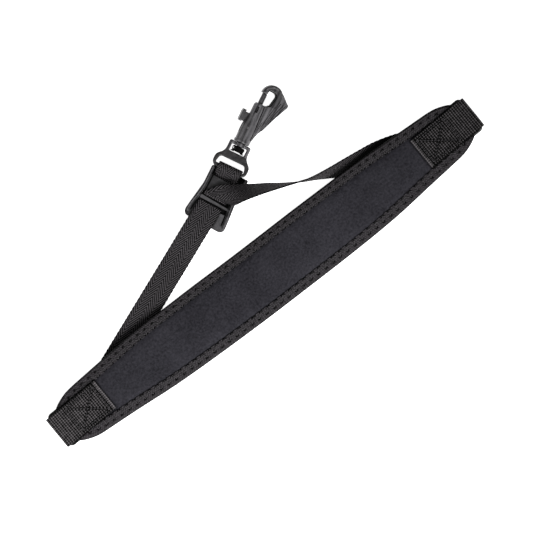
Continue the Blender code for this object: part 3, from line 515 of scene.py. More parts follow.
def cloth_place(tree):
    """Distances along and across the cloth here, and how much painted shade darkens it, in a dent or
    elsewhere.
    """
    laid = tree.nodes.new("ShaderNodeAttribute")
    laid.attribute_name = "weave"
    parts = tree.nodes.new("ShaderNodeSeparateXYZ")
    tree.links.new(laid.outputs["Vector"], parts.inputs[0])
    return parts.outputs[0], parts.outputs[1], parts.outputs[2]


def speckle(tree, scale, detail=3.0, rough=0.6):
    """Noise between about 0 and 1, in the object's own space."""
    place = tree.nodes.new("ShaderNodeTexCoord").outputs["Object"]
    return node(tree, "ShaderNodeTexNoise", {
        "Vector": place, "Scale": scale, "Detail": detail, "Roughness": rough,
    })


def colour_by(tree, shader, share, dark, light, low=0.25, high=0.75):
    """Base colour from dark to light, as a share goes from low to high."""
    mixed = node(tree, "ShaderNodeValToRGB", {0: share})
    ramp = tree.nodes[-1].color_ramp
    ramp.elements[0].position = low
    ramp.elements[0].color = (*dark, 1.0)
    ramp.elements[1].position = high
    ramp.elements[1].color = (*light, 1.0)
    tree.links.new(mixed, shader.inputs["Base Color"])


def bump(tree, shader, height, distance, strength=1.0):
    """Relief of this height in metres."""
    out = node(tree, "ShaderNodeBump", {"Height": height, "Distance": distance, "Strength": strength})
    tree.links.new(out, shader.inputs["Normal"])


def cloth(name, roughness, specular, colours, limits, relief, weave):
    """A cloth whose weave gives its share of light and its height, with painted shade in its dents and
    elsewhere.
    """
    made, tree, shader = new_material(name, roughness, specular)
    distance, across, dent = cloth_place(tree)
    share, height = weave(tree, distance, across)
    # Painted shade from the points' third channel darkens the weave's share of light
    colour_by(tree, shader, calc(tree, "SUBTRACT", share, dent), *colours, *limits)
    bump(tree, shader, height, relief)
    return made


def knit_face(tree, *_):
    """Smooth fine-knit face over foam, a little mottled."""
    mottle = speckle(tree, FIBRE_SCALE, 5.0, 0.75)
    broad = speckle(tree, 45.0, 3.0)
    knit = speckle(tree, 2600.0, 1.0)
    share = calc(tree, "MULTIPLY_ADD", broad, 0.25, calc(tree, "MULTIPLY", mottle, 0.75))
    return share, calc(tree, "ADD", knit, mottle)


def tape_weave(tree, distance, across):
    """Plain woven tape with a fine grid of yarns."""
    grid = calc(tree, "MULTIPLY", wave(tree, across, YARN_PITCH), wave(tree, distance, RIM_RIB))
    grain = speckle(tree, FIBRE_SCALE, 5.0, 0.75)
    share = calc(tree, "MULTIPLY_ADD", grid, 0.30, calc(tree, "MULTIPLY", grain, 0.80))
    return share, calc(tree, "ADD", grid, grain)


def herringbone(tree, distance, across):
    """Webbing woven in three and a half stripes of twill that lean in turn either way."""
    offset = calc(tree, "ADD", across, WEB_WIDTH + 0.0012)
    lean = calc(tree, "PINGPONG", offset, TWILL_STRIPE)
    leaned = calc(tree, "MULTIPLY_ADD", lean, 1 / math.tan(TWILL_ANGLE), distance)
    wale = wave(tree, leaned, TWILL_PITCH)
    yarn = wave(tree, calc(tree, "MULTIPLY_ADD", lean, -0.8, distance), 0.0016)
    twill = calc(tree, "MULTIPLY", wale, calc(tree, "MULTIPLY_ADD", yarn, 0.30, 0.70))
    grain = speckle(tree, FIBRE_SCALE, 4.0, 0.7)
    share = calc(tree, "MULTIPLY_ADD", twill, 0.85, calc(tree, "MULTIPLY", grain, 0.44))
    return share, calc(tree, "MULTIPLY_ADD", grain, 0.3, twill)


def tab_weave(tree, distance, across):
    """Coarse webbing, ribbed across, with fine lengthwise yarns over the ribs."""
    rib = wave(tree, distance, TAB_RIB)
    yarn = wave(tree, across, YARN_PITCH)
    grain = speckle(tree, 540.0, 5.0, 0.75)
    share = calc(tree, "MULTIPLY_ADD", rib, 0.44, calc(tree, "MULTIPLY", grain, 0.58))
    share = calc(tree, "MULTIPLY_ADD", yarn, 0.22, share)
    return share, calc(tree, "MULTIPLY_ADD", grain, 0.6, yarn)


def sewing_thread():
    """Twisted polyester thread, a little paler than the cloth that it holds."""
    made, tree, shader = new_material("thread", 0.60, 0.20)
    distance, around, _ = cloth_place(tree)
    twist = wave(tree, calc(tree, "ADD", distance, around), 0.0006)
    colour_by(tree, shader, twist, (0.016, 0.015, 0.016), (0.064, 0.060, 0.064))
    bump(tree, shader, twist, 0.00006)
    return made


def moulded(name, dark, light, roughness, specular, painted_highlights=0.0):
    """Moulded plastic with a fine eroded grain and cloudy wear, and painted highlights: streaks drawn out
    along the hook, and light and dark bands along it in line with its ridges.
    """
    made, tree, shader = new_material(name, roughness, specular)
    cloud = speckle(tree, 260.0, 5.0, 0.7)
    grain = speckle(tree, 1900.0, 2.0)
    turned = tree.nodes.new("ShaderNodeMapping")
    turned.vector_type = "TEXTURE"
    turned.inputs["Rotation"].default_value = (0.0, 0.0, HOOK_HEADING)
    turned.inputs["Scale"].default_value = (0.030, 0.0016, 0.0016)
    tree.links.new(tree.nodes.new("ShaderNodeTexCoord").outputs["Object"], turned.inputs["Vector"])
    highlight_streak = node(tree, "ShaderNodeTexNoise", {"Vector": turned.outputs[0], "Scale": 1.0, "Detail": 3.0})
    plain = calc(tree, "MULTIPLY_ADD", grain, 0.3, calc(tree, "MULTIPLY", cloud, 0.7 - painted_highlights))
    share = calc(tree, "MULTIPLY_ADD", highlight_streak, painted_highlights, plain)
    if painted_highlights:
        parts = tree.nodes.new("ShaderNodeSeparateXYZ")
        tree.links.new(turned.outputs[0], parts.inputs[0])
        # Painted light and shade: bands along the hook, in line with its ridges
        ridge_light_bands = wave(tree, parts.outputs[1], 2.1)
        share = calc(tree, "MULTIPLY_ADD", ridge_light_bands, 0.16, calc(tree, "SUBTRACT", share, 0.07))
    colour_by(tree, shader, share, dark, light, 0.36, 0.64)
    bump(tree, shader, calc(tree, "MULTIPLY_ADD", highlight_streak, 2 * painted_highlights, grain), 0.00006)
    return made


# Cloths: roughness, specular level, darkest and lightest colour, the shares where these lie, and relief
KNIT = cloth(
    "knit_face", 0.85, 0.08, ((0.0065, 0.0062, 0.0080), (0.0285, 0.0275, 0.0335)), (0.36, 0.64),
    0.00010, knit_face)
TAPE = cloth(
    "binding_weave", 0.85, 0.06, ((0.0005, 0.0004, 0.0005), (0.0560, 0.0515, 0.0560)), (0.22, 0.80),
    0.00020, tape_weave)
TWILL = cloth(
    "herringbone", 0.75, 0.07, ((0.0004, 0.0003, 0.0004), (0.0680, 0.0630, 0.0670)), (0.40, 1.0),
    0.00035, herringbone)
RIBBED = cloth(
    "ribbed_webbing", 0.78, 0.07, ((0.0004, 0.0003, 0.0003), (0.0840, 0.0775, 0.0805)), (0.43, 1.0),
    0.00035, tab_weave)
THREAD = sewing_thread()

# Plastics: darkest and lightest colour, roughness, specular level and how much of the grain is streaks of
# painted highlight
HOOK_PLASTIC = moulded("hook_plastic", (0.018, 0.0175, 0.0185), (0.115, 0.111, 0.118), 0.36, 0.35, 0.55)
# Darker copies of the hook's plastic: painted shade on its bow and on its fin
SHADED_BOW_PLASTIC = moulded("bow_plastic_shaded", (0.008, 0.0077, 0.0082), (0.050, 0.048, 0.051), 0.40, 0.25, 0.55)
SHADED_FIN_PLASTIC = moulded("fin_plastic_shaded", (0.013, 0.0127, 0.0133), (0.084, 0.081, 0.086), 0.40, 0.25, 0.55)
BOLT_PLASTIC = moulded("bolt_plastic", (0.016, 0.0155, 0.0163), (0.062, 0.0605, 0.0635), 0.38, 0.35)
EYE_PLASTIC = moulded("eye_plastic", (0.003, 0.0029, 0.0031), (0.038, 0.0368, 0.0388), 0.36, 0.30)
SLIDER_PLASTIC = moulded("slider_plastic", (0.007, 0.0067, 0.0072), (0.030, 0.0290, 0.0308), 0.30, 0.30)
# A lighter copy of the slider's plastic: a painted highlight on one corner of its plate
LIT_SLIDER_PLASTIC = moulded("slider_plastic_lit", (0.022, 0.0212, 0.0225), (0.070, 0.0680, 0.0715), 0.40, 0.30)
# A lighter plastic for the crossbar's face: a painted highlight
LIT_BAR_PLASTIC = moulded("bar_plastic_lit", (0.028, 0.0270, 0.0285), (0.074, 0.0720, 0.0755), 0.36, 0.30)
# A light plastic for beads along the rails' crests: a painted highlight
CREST_HIGHLIGHT_PLASTIC = moulded("crest_highlight_plastic", (0.055, 0.0530, 0.0560), (0.110, 0.107, 0.112), 0.32, 0.35)
# Near-black plastic as painted shade, for grooves, gaps, slot floors and walls that lie in shadow
SHADE_PLASTIC = moulded("painted_shade_plastic", (0.0008, 0.0008, 0.0008), (0.0020, 0.0020, 0.0020), 0.60, 0.04)
WIRE = moulded("painted_wire", (0.0015, 0.0015, 0.0015), (0.0040, 0.0040, 0.0040), 0.35, 0.20)


# Pad and its binding

def pad_fill(share):
    """Thickness of the pad at this share of its half length."""
    return PAD_THICK * along(PAD_FILL, abs(share))


def pad_point(share, column, inset, height):
    """A point of the pad this far inside its outline and this high over its underside."""
    half_width = PAD_WIDTH / 2 * along(PAD_SHAPE, abs(share))
    x = share * (PAD_LENGTH / 2 - inset)
    y = column * (half_width - inset) + PAD_BOW * along(PAD_BEND, share)
    return Vector((x, y, PAD_LIFT * along(PAD_RISE, share) + height))


def core_profile(fill):
    """Rows of (inset, height) down the pad's edge, inside the binding."""
    return (
        (BINDING_WIDTH + GAP, INNER_HEIGHT * fill),
        (BINDING_WIDTH / 2, MIDDLE_HEIGHT * fill),
        (CORE_WALL + NOSE, NOSE_HEIGHT * fill),
        (CORE_WALL, RIM_HEIGHT * fill),
        (CORE_WALL + NOSE, CORE_WALL + GAP / 2),
        (BINDING_WIDTH / 2, CORE_WALL),
        (BINDING_WIDTH + GAP, CORE_WALL),
    )


def edge_round(shares, columns):
    """The places round the pad, as (row, column) of a grid of shares and columns."""
    last_row = len(shares) - 1
    last = len(columns) - 1
    left_to_right = [(i, 0) for i in range(last_row + 1)]
    right_end = [(last_row, j) for j in range(1, last)]
    right_to_left = [(i, last) for i in range(last_row, -1, -1)]
    left_end = [(0, j) for j in range(last - 1, 0, -1)]
    return left_to_right + right_end + right_to_left + left_end


def tab_shade(place):
    """How much painted shade a sewn tab lays beside it at this place of the pad's frame, from 0 to 1."""
    most = 0.0
    for side in (-1, 1):
        near = pad_end(side).inverted() @ place
        inner = -TAB_SEWN[side > 0] - near.x
        outer = abs(near.y) - TAB_WIDTH / 2
        off = math.hypot(max(inner, 0.0), max(outer, 0.0))
        most = max(most, bell(off, STITCH_FADE))
    return most


def show_pad():
    """The padded panel: a crowned knit face that rolls down to the stitching, and its underside."""
    steps = 300
    shares = [math.sin(math.pi * (k / steps - 0.5)) for k in range(steps + 1)]
    columns = [math.sin(math.pi * (0.5 - k / 60)) for k in range(61)]
    edge = edge_round(shares, columns)
    inner = BINDING_WIDTH + 2 * GAP
    verts = []
    faces = []
    for top in (True, False):
        start = len(verts)
        for share in shares:
            fill = pad_fill(share)
            half_width = PAD_WIDTH / 2 * along(PAD_SHAPE, abs(share)) - inner
            for column in columns:
                crown = 1 - CROWN + CROWN * (1 - column * column)
                inside = min((1 - abs(column)) * half_width, (1 - abs(share)) * PAD_LENGTH / 2)
                roll = 1 - math.exp(-inside / ROLL_REACH)
                height = fill * (ROLL_FOOT + (crown - ROLL_FOOT) * roll) if top else 0.0
                place = pad_point(share, column, inner, height)
                if top:
                    place.z += 0.00016 * noise.noise(Vector((place.x * 60, place.y * 60, 0.0))) * roll
                verts.append(place)
        for i in range(steps):
            for j in range(len(columns) - 1):
                a = start + i * len(columns) + j
                faces.append((a, a + 1, a + len(columns) + 1, a + len(columns)))
    size = len(shares) * len(columns)
    rings = [[i * len(columns) + j for i, j in edge]]
    for row in range(len(core_profile(PAD_THICK))):
        ring = []
        for i, j in edge:
            inset, height = core_profile(pad_fill(shares[i]))[row]
            ring.append(len(verts))
            verts.append(pad_point(shares[i], columns[j], inset, height))
        rings.append(ring)
    rings.append([size + i * len(columns) + j for i, j in edge])
    for near, far in zip(rings, rings[1:]):
        for k in range(len(near)):
            on = (k + 1) % len(near)
            faces.append((near[k], near[on], far[on], far[k]))
    # Painted shade on the panel beside the tabs
    weave = [(place.x, place.y, 0.45 * tab_shade(place)) for place in verts]
    pad = show("pad_panel", verts, faces, KNIT, "strap", weave)
    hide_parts("neck_pad")


def edge_walk():
    """Places round the pad's outline at an even spacing, as (share, column, distance)."""
    coarse = [(-1 + 2 * k / 800, 1.0) for k in range(801)]
    coarse += [(1.0, 1 - 2 * k / 60) for k in range(1, 60)]
    coarse += [(1 - 2 * k / 800, -1.0) for k in range(801)]
    coarse += [(-1.0, -1 + 2 * k / 60) for k in range(1, 60)]
    points = np.array([tuple(pad_point(share, column, 0.0, 0.0)) for share, column in coarse])
    spans = np.linalg.norm(np.roll(points, -1, axis=0) - points, axis=1)
    places = np.concatenate([[0.0], np.cumsum(spans)])
    count = round(places[-1] / EDGE_STEP)
    values = np.array(coarse + [coarse[0]])
    walk = []
    for k in range(count):
        at = places[-1] * k / count
        share = float(np.interp(at, places, values[:, 0]))
        column = float(np.interp(at, places, values[:, 1]))
        walk.append((share, column, at))
    return walk, float(places[-1])


def binding_top(inset, fill):
    """Height of the binding's upper face this far inside the outline."""
    rows = (
        (0.0, RIM_HEIGHT * fill),
        (0.0003, 0.46 * fill + CORE_WALL / 2),
        (NOSE, NOSE_HEIGHT * fill + CORE_WALL),
        (BINDING_WIDTH / 2, MIDDLE_HEIGHT * fill + CORE_WALL),
        (BINDING_WIDTH, INNER_HEIGHT * fill + CORE_WALL),
    )
    return along(rows, inset)


def stitch_dent(distance, inset, pitch):
    """How much the zigzag's needle holes pull the binding down here, from 0 to 1."""
    most = 0.0
    for row, shift, long, wide in STITCH_ROWS:
        beside = (distance / pitch + shift + 0.5) % 1.0 - 0.5
        reach = math.hypot(beside * pitch / long, (inset - row) / wide)
        most = max(most, math.exp(-reach * reach))
    return most


def rim_shade(share, column, inset):
    """How much painted shade darkens the binding's rim. The far side turns from the light, most on its
    right half.
    """
    deep, reach = 0.35, 0.0004
    if column > 0.9:
        deep, reach = 0.35 + 0.45 * clamp(0.5 + 2 * share), 0.0007
    return deep * bell(inset, reach)


def show_binding():
    """The woven tape folded over the pad's edge, ribbed at the rim and pulled down at each stitch."""
    walk, length = edge_walk()
    pitch = length / round(length / STITCH_PITCH)
    rib = length / round(length / RIM_RIB)
    insets = [BINDING_WIDTH * (1 - k / 26) for k in range(25)] + [0.0006, 0.0003, 0.0001]
    verts = []
    weave = []
    for share, column, distance in walk:
        fill = pad_fill(share)
        ring = []
        dent_shades = []
        for inset in insets:
            dent = stitch_dent(distance, inset, pitch)
            ripple = math.sin(2 * math.pi * distance / rib) * math.exp(-inset / 0.0016)
            pucker = math.cos(2 * math.pi * distance / pitch) * bell(inset - 0.0012, 0.0014)
            height = binding_top(inset, fill) - STITCH_DEPTH * dent
            ring.append((inset, height + RIPPLE_RISE * ripple - PUCKER_DIP * pucker))
            dent_shades.append(0.9 * dent)
        under = [
            (0.0, RIM_HEIGHT * fill), (0.25 * NOSE, 0.20 * fill), (NOSE, GAP / 2), (BINDING_WIDTH / 2, 0.0),
            (BINDING_WIDTH, 0.0), (BINDING_WIDTH, BINDING_WALL), (BINDING_WIDTH / 2, BINDING_WALL),
            (BINDING_WALL + NOSE, BINDING_WALL + GAP / 2), (BINDING_WALL, RIM_HEIGHT * fill),
            (BINDING_WALL + NOSE, NOSE_HEIGHT * fill + GAP),
            (BINDING_WIDTH / 2, MIDDLE_HEIGHT * fill + GAP - 0.0001),
            (BINDING_WIDTH, INNER_HEIGHT * fill + GAP),
        ]
        ring += under
        for row, (inset, height) in enumerate(ring):
            place = pad_point(share, column, inset, height)
            # Painted shade: dark underside rows, and on top in the stitch dents, beside the tabs and along
            # the rim
            shade = 0.35
            if row < len(dent_shades):
                shade = max(dent_shades[row], 0.6 * tab_shade(place), rim_shade(share, column, inset))
            verts.append(place)
            weave.append((distance, row * 0.00036, shade))
    columns = len(ring)
    binding = show("binding_tape", verts, skin_faces(len(walk), columns, loop=True), TAPE, "strap", weave)
    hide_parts("edge_binding")


def show_binding_stitches():
    """The zigzag thread that holds the binding, one arched stitch from each hole to the next."""
    walk, length = edge_walk()
    count = 2 * round(length / STITCH_PITCH)
    places = np.array([distance for share, column, distance in walk] + [length])
    shares = np.array([share for share, column, distance in walk] + [walk[0][0]])
    columns = np.array([column for share, column, distance in walk] + [walk[0][1]])
    paths = []
    for k in range(count):
        near = STITCH_ROWS[k % 2][0]
        far = STITCH_ROWS[(k + 1) % 2][0]
        path = []
        for i in range(9):
            t = i / 8
            distance = length * (k + t) / count
            inset = near + (far - near) * t
            share = float(np.interp(distance, places, shares))
            column = float(np.interp(distance, places, columns))
            lift = 0.00018 * math.sin(math.pi * t) ** 0.5 - 0.0004 * (abs(2 * t - 1) ** 6)
            path.append(pad_point(share, column, inset, binding_top(inset, pad_fill(share)) + lift))
        paths.append(path)
    thread = show_tubes("binding_thread", paths, THREAD_RADIUS, THREAD, "strap")


# Tabs and rings

def pad_end(side):
    """The frame on the floor at an end of the pad, with its x axis out along the tab."""
    heading = TAB_TILT if side > 0 else TAB_TILT + math.pi
    return frame_at((side * PAD_LENGTH / 2, 0.0), heading)


def ring_bar(side):
    """The floor under the middle of a ring's inner bar."""
    level_span = math.sqrt(RING_SPAN ** 2 - (RING_HIGH - RING_LOW) ** 2)
    return pad_end(side) @ Vector((RING_OUT - level_span, 0.0, 0.0))


def pad_levels(side, share):
    """The lowest and highest the pad's faces reach here, in its binding or its panel."""
    panel = min(1.0, share / (1 - 2 * BINDING_WIDTH / PAD_LENGTH))
    rises = [PAD_LIFT * along(PAD_RISE, side * at) for at in (share, panel)]
    return min(rises), max(rises) + max(pad_fill(share), pad_fill(panel))


def tab_path(side):
    """Places of (out, up) along a tab's middle: over the pad's end, round the ring and back under."""
    half = PAD_LENGTH / 2
    inner = 1 - TAB_SEWN[side > 0] / half
    wrap = RING_WIRE / 2 + GAP + TAB_THICK / 2
    steps = 10
    path = []
    for k in range(steps + 1):
        share = inner + (1 - inner) * k / steps
        path.append(((share - 1) * half, pad_levels(side, share)[1] + GAP + TAB_THICK / 2))
    for k in range(9):
        angle = math.pi / 2 - math.pi * k / 8
        path.append((RING_OUT + wrap * math.cos(angle), RING_HIGH + wrap * math.sin(angle)))
    for k in range(steps, -1, -1):
        share = inner + (1 - inner) * k / steps
        path.append(((share - 1) * half, pad_levels(side, share)[0] - GAP - TAB_THICK / 2))
    return path


def show_tab(name, side):
    """A ribbed webbing tab, folded round its ring and sewn down with a box and a cross."""
    across = azimuth(math.pi / 2 + TAB_TILT) * side
    path = tab_path(side)
    stations = [(pad_end(side) @ Vector((x, 0.0, z)), across) for x, z in path]

    level = path[0][0]
    low = 0.0035
    high = 0.0300
    reach = TAB_WIDTH / 2 - 0.0026
    corners = [(low, -reach), (high, -reach), (high, reach), (low, reach), (low, -reach), (high, reach)]
    lines = list(zip(corners, corners[1:])) + [((low, reach), (high, -reach))]

    def sewn(distance, x):
        """How far the box and its cross pull the webbing down here, from 0 to 1."""
        most = 0.0
        for start, end in lines:
            way = Vector(end) - Vector(start)
            place = Vector((distance, x)) - Vector(start)
            share = clamp(place.dot(way) / way.length_squared)
            off = (place - way * share).length
            step = 0.5 + 0.5 * math.cos(2 * math.pi * share * round(way.length / TAB_STITCH))
            most = max(most, bell(off, STITCH_FADE) * (0.25 + 0.75 * step))
        return most

    def relief(distance, x, face):
        flat = clamp((distance - 0.0022) / 0.0004)
        rib = math.sin(2 * math.pi * distance / TAB_RIB) * flat
        dent = sewn(distance, x) if face > 0 and distance < high + 0.002 else 0.0
        hem = 0.00012 * (1 - flat) if face > 0 else 0.0
        groove = bell(distance - 0.0026, 0.0005) if face > 0 else 0.0
        proud = TAB_RIB_DEPTH * (rib - 1) + hem - 0.00040 * dent
        edge = max(0.0, abs(x) / (TAB_WIDTH / 2) - 0.94) / 0.06
        wider = 0.00022 * noise.noise(Vector((distance * 260, math.copysign(9.0, x), 0.0))) if edge else 0.0
        # Patchy wear, and painted shade that darkens the whole right tab
        patchy = noise.noise(Vector((distance * 420, x * 420, side * 3.0)))
        wear_and_shade = 0.16 * patchy + (0.07 if side > 0 else 0.0)
        # Dark share: painted shade in the stitch dents, along the crease beside the hem and at the edges,
        # lighter along the hem
        return proud, wider, 0.62 * dent + 0.55 * groove + 0.55 * edge - 0.25 * (1 - flat) + wear_and_shade

    tab = show_webbing(
        name + "_webbing", stations, TAB_WIDTH, TAB_THICK, RIBBED, "strap", 0.0004, 30, relief)
    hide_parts(name)
    rows = [(x, z) for x, z in path if x <= 0.0005][:11]
    paths = []
    for start, end in lines:
        length = math.dist(start, end)
        count = round(length / TAB_STITCH)
        for k in range(count):
            stitch = []
            for i in range(6):
                t = (k + 0.12 + 0.76 * i / 5) / count
                x = level + start[0] + (end[0] - start[0]) * t
                y = start[1] + (end[1] - start[1]) * t
                lift = 0.00024 * math.sin(math.pi * i / 5) - 0.00030
                up = np.interp(x, [p[0] for p in rows], [p[1] for p in rows]) + TAB_THICK / 2 + lift
                stitch.append(pad_end(side) @ Vector((x, y, float(up))))
            paths.append(stitch)
    thread = show_tubes(name + "_thread", paths, 0.00024, THREAD, "strap")


def show_ring(name, side):
    """A painted wire ring with round corners."""
    half = RING_INNER / 2 + RING_WIRE / 2 - 2 * RING_PLAY
    outline = fillet([
        (0.0, -half, RING_CORNER), (RING_SPAN, -half, RING_CORNER),
        (RING_SPAN, half, RING_CORNER), (0.0, half, RING_CORNER),
    ])
    slope = math.asin((RING_HIGH - RING_LOW) / RING_SPAN)
    turn = pad_end(side).to_3x3()
    path = []
    for place in outline:
        reach = Vector((place.x * math.cos(slope), place.y, RING_LOW + place.x * math.sin(slope)))
        path.append(ring_bar(side) + turn @ reach)
    ring = show_tubes(name + "_wire", [path], RING_WIRE / 2, WIRE, "strap", sides=20, closed=True)
    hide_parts(name)


# Webbing route

def web_height(distance):
    """Height of the webbing's middle this far from a ring's bar, over its own sewn tail."""
    on_tail = WEB_THICK * 1.5 + GAP
    rows = (
        (0.0, RING_LOW + RING_WRAP),
        (0.4 * WEB_TAIL, on_tail),
        (1.08 * WEB_TAIL, on_tail),
        (1.45 * WEB_TAIL, WEB_THICK / 2),
        (4.0 * WEB_TAIL, WEB_THICK / 2),
    )
    return along(rows, distance)


def left_plan():
    """Level points of the left leg: a short bend off the ring, then straight to the slider's slot."""
    slider = frame_at(SLIDER_AT, SLIDER_HEADING)
    start = ring_bar(-1)
    corner = start + azimuth(TAB_TILT) * WEB_BEND
    goal = slider @ Vector((-SLOT_MIDDLE - WEB_THICK, LEG_SIDE, 0.0))
    leave = corner + (goal - corner).normalized() * WEB_BEND
    points = []
    for k in range(9):
        t = k / 8
        points.append(start * (1 - t) ** 2 + corner * (2 * t * (1 - t)) + leave * t * t)
    for k in range(1, 25):
        points.append(leave.lerp(goal, k / 24))
    return points


def measured(points):
    """The points, each with its distance from the first and the level direction across there."""
    rows = []
    distance = 0.0
    for k, point in enumerate(points):
        if k:
            distance += (point - points[k - 1]).length
        way = points[min(k + 1, len(points) - 1)] - points[max(k - 1, 0)]
        rows.append((point, distance, Vector((-way.y, way.x, 0.0)).normalized()))
    return rows


def ring_wrap(side, start):
    """Half a turn of the webbing's middle round a ring's inner bar, from this angle on."""
    places = []
    for k in range(9):
        angle = start - math.pi * k / 8
        reach = azimuth(TAB_TILT) * (RING_WRAP * math.cos(angle))
        reach.z = RING_LOW + RING_WRAP * math.sin(angle)
        places.append(ring_bar(side) + reach)
    return places


def left_stations():
    """The sewn tail, the wrap round the left ring and the left leg up to the slider."""
    rows = measured(left_plan())
    tail = [(point + Vector((0, 0, WEB_THICK / 2)), across) for point, d, across in rows if d <= WEB_TAIL]
    stations = tail[:0:-1]
    stations += [(place, azimuth(TAB_TILT + math.pi / 2)) for place in ring_wrap(-1, -math.pi / 2)]
    length = rows[-1][1]
    climb = (
        (0.0, 1.0),
        (SLIDER_LOW - SLOT_MIDDLE + 3 * WEB_THICK, 1.0),
        (SLIDER_LOW + 0.030, 0.0),
        (length, 0.0),
    )
    for point, d, across in rows[1:]:
        low = web_height(d)
        height = low + (WEB_OVER - low) * along(climb, length - d)
        stations.append((point + Vector((0.0, 0.0, height)), across))
    return stations


def loop_stations():
    """Down the lower slot, under the plate, round the eye's bar, back, and up the upper slot."""
    slider = frame_at(SLIDER_AT, SLIDER_HEADING)
    eye = frame_at(HOOK_AT, HOOK_HEADING)
    bar = slider.inverted() @ eye @ Vector((EYE_BAR_AT, LOOP_ON_BAR, 0.0))
    bar_radius = math.hypot(EYE_BAR, EYE_THICK) / 2 - 0.1 * EYE_THICK
    wrap = bar_radius + GAP + WEB_THICK / 2
    curl = WEB_THICK * 0.95
    middle = Vector((bar.x, HOOK_HEIGHT))

    def touch(corner, side):
        """Where the line from this corner touches the wrap, on its lower or upper side."""
        line = middle - Vector(corner)
        angle = math.atan2(line.y, line.x) + side * math.asin(wrap / line.length)
        reach = math.sqrt(line.length ** 2 - wrap ** 2)
        return Vector(corner) + Vector((math.cos(angle), math.sin(angle))) * reach

    low_corner = (SLIDER_HIGH + 1.2 * WEB_THICK, WEB_UNDER)
    high_corner = (SLIDER_HIGH + 1.4 * WEB_THICK, WEB_BACK)
    low_touch = touch(low_corner, -1)
    high_touch = touch(high_corner, 1)
    going = fillet([
        (-SLOT_MIDDLE - WEB_THICK, WEB_OVER, 0), (-SLOT_MIDDLE, WEB_OVER, curl),
        (-SLOT_MIDDLE, WEB_UNDER, curl), (*low_corner, 2 * WEB_THICK), (*low_touch, 0),
    ], closed=False)[1:-1]
    coming = fillet([
        (*high_touch, 0), (*high_corner, 2 * WEB_THICK), (SLOT_MIDDLE, WEB_BACK, curl),
        (SLOT_MIDDLE, WEB_OVER, curl), (SLOT_MIDDLE + WEB_THICK, WEB_OVER, 0),
    ], closed=False)[1:-1]
    first = math.atan2(*(low_touch - middle).yx)
    last = math.atan2(*(high_touch - middle).yx)
    around = []
    for k in range(17):
        angle = first + (last - first) * k / 16
        around.append(middle + Vector((math.cos(angle), math.sin(angle))) * wrap)
    stations = []
    for half, slot_side in ((going + around[:9], LEG_SIDE), (around[9:] + coming, LOOP_SIDE)):
        for x, z in half:
            share = (x + SLOT_MIDDLE) / (bar.x + SLOT_MIDDLE)
            y = slot_side + (bar.y - slot_side) * share
            heading = SLIDER_HEADING + (HOOK_HEADING - SLIDER_HEADING) * share
            stations.append((slider @ Vector((x, y, z)), azimuth(heading + math.pi / 2)))
    return stations


def right_station(share):
    """Centre and direction across of the right leg at this share of the way to the right ring."""
    slider = frame_at(SLIDER_AT, SLIDER_HEADING)
    start = slider @ Vector((SLOT_MIDDLE, LOOP_SIDE, 0.0))
    chord = ring_bar(1) - start
    heading = math.atan2(chord.y, chord.x)
    left = azimuth(heading + math.pi / 2)
    aside, leaving, landing, roll, low = (along(RIGHT_LEG, share, column) for column in range(1, 6))
    turn = leaving * (SLIDER_HEADING - heading) + landing * (TAB_TILT - heading)
    roll = math.radians(roll)
    across = azimuth(heading + math.pi / 2 + turn) * math.cos(roll) + Vector((0.0, 0.0, math.sin(roll)))
    height = max(low * RAIL_TOP, WEB_THICK / 2) + WEB_WIDTH / 2 * abs(math.sin(roll))
    over_tail = web_height((1 - share) * chord.length) - WEB_THICK / 2
    centre = start + chord * share + left * (aside * chord.length)
    return centre + Vector((0.0, 0.0, height + over_tail)), across, chord.length


def right_stations():
    """The right leg, the wrap round the right ring and the sewn tail."""
    stations = []
    first = 0.020
    for k in range(RIGHT_STEPS):
        stations.append(right_station(first + (1 - first) * k / RIGHT_STEPS)[:2])
    _, across, length = right_station(1.0)
    stations += [(place, across) for place in ring_wrap(1, math.pi / 2)]
    for k in range(1, 9):
        centre, across, length = right_station(1 - WEB_TAIL / length * k / 8)
        centre.z = WEB_THICK / 2
        stations.append((centre, across))
    return stations


def pad_shade(place):
    """How much painted shadow the pad's upper rim casts on the webbing that comes out from under it."""
    if abs(place.x) >= PAD_LENGTH / 2:
        return 0.0
    rim = pad_point(2 * place.x / PAD_LENGTH, 1.0, 0.0, 0.0)
    reach, deep = (0.0030, 0.95) if place.x > 0 else (0.0040, 0.22)
    return deep * bell(max(place.y - rim.y, 0.0), reach)


def show_strap():
    """The whole bridle as one herringbone webbing."""
    stations = left_stations() + loop_stations() + right_stations()

    def relief(distance, x, _):
        scallop = 0.5 + 0.5 * math.sin(2 * math.pi * distance / SELVEDGE_PITCH)
        edge = max(0.0, abs(x) / (WEB_WIDTH / 2) - 0.93) / 0.07
        # Painted shade along the selvedges, deepest where the scallops pull the edge in
        return 0.0, -SELVEDGE_DEPTH * scallop * edge, (0.25 + 0.45 * scallop) * edge

    strap = show_webbing(
        "bridle_webbing", stations, WEB_WIDTH, WEB_THICK, TWILL, "strap", 0.0005, 16, relief, pad_shade)
    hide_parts("strap_webbing")


# Moulded pieces

def rod(path, radius, sides=10):
    """A mesh of a thin round rod along a path."""
    verts, faces = tube(path, radius, sides)
    mesh = bpy.data.meshes.new("rod")
    mesh.from_pydata([tuple(v) for v in verts], [], faces)
    return mesh


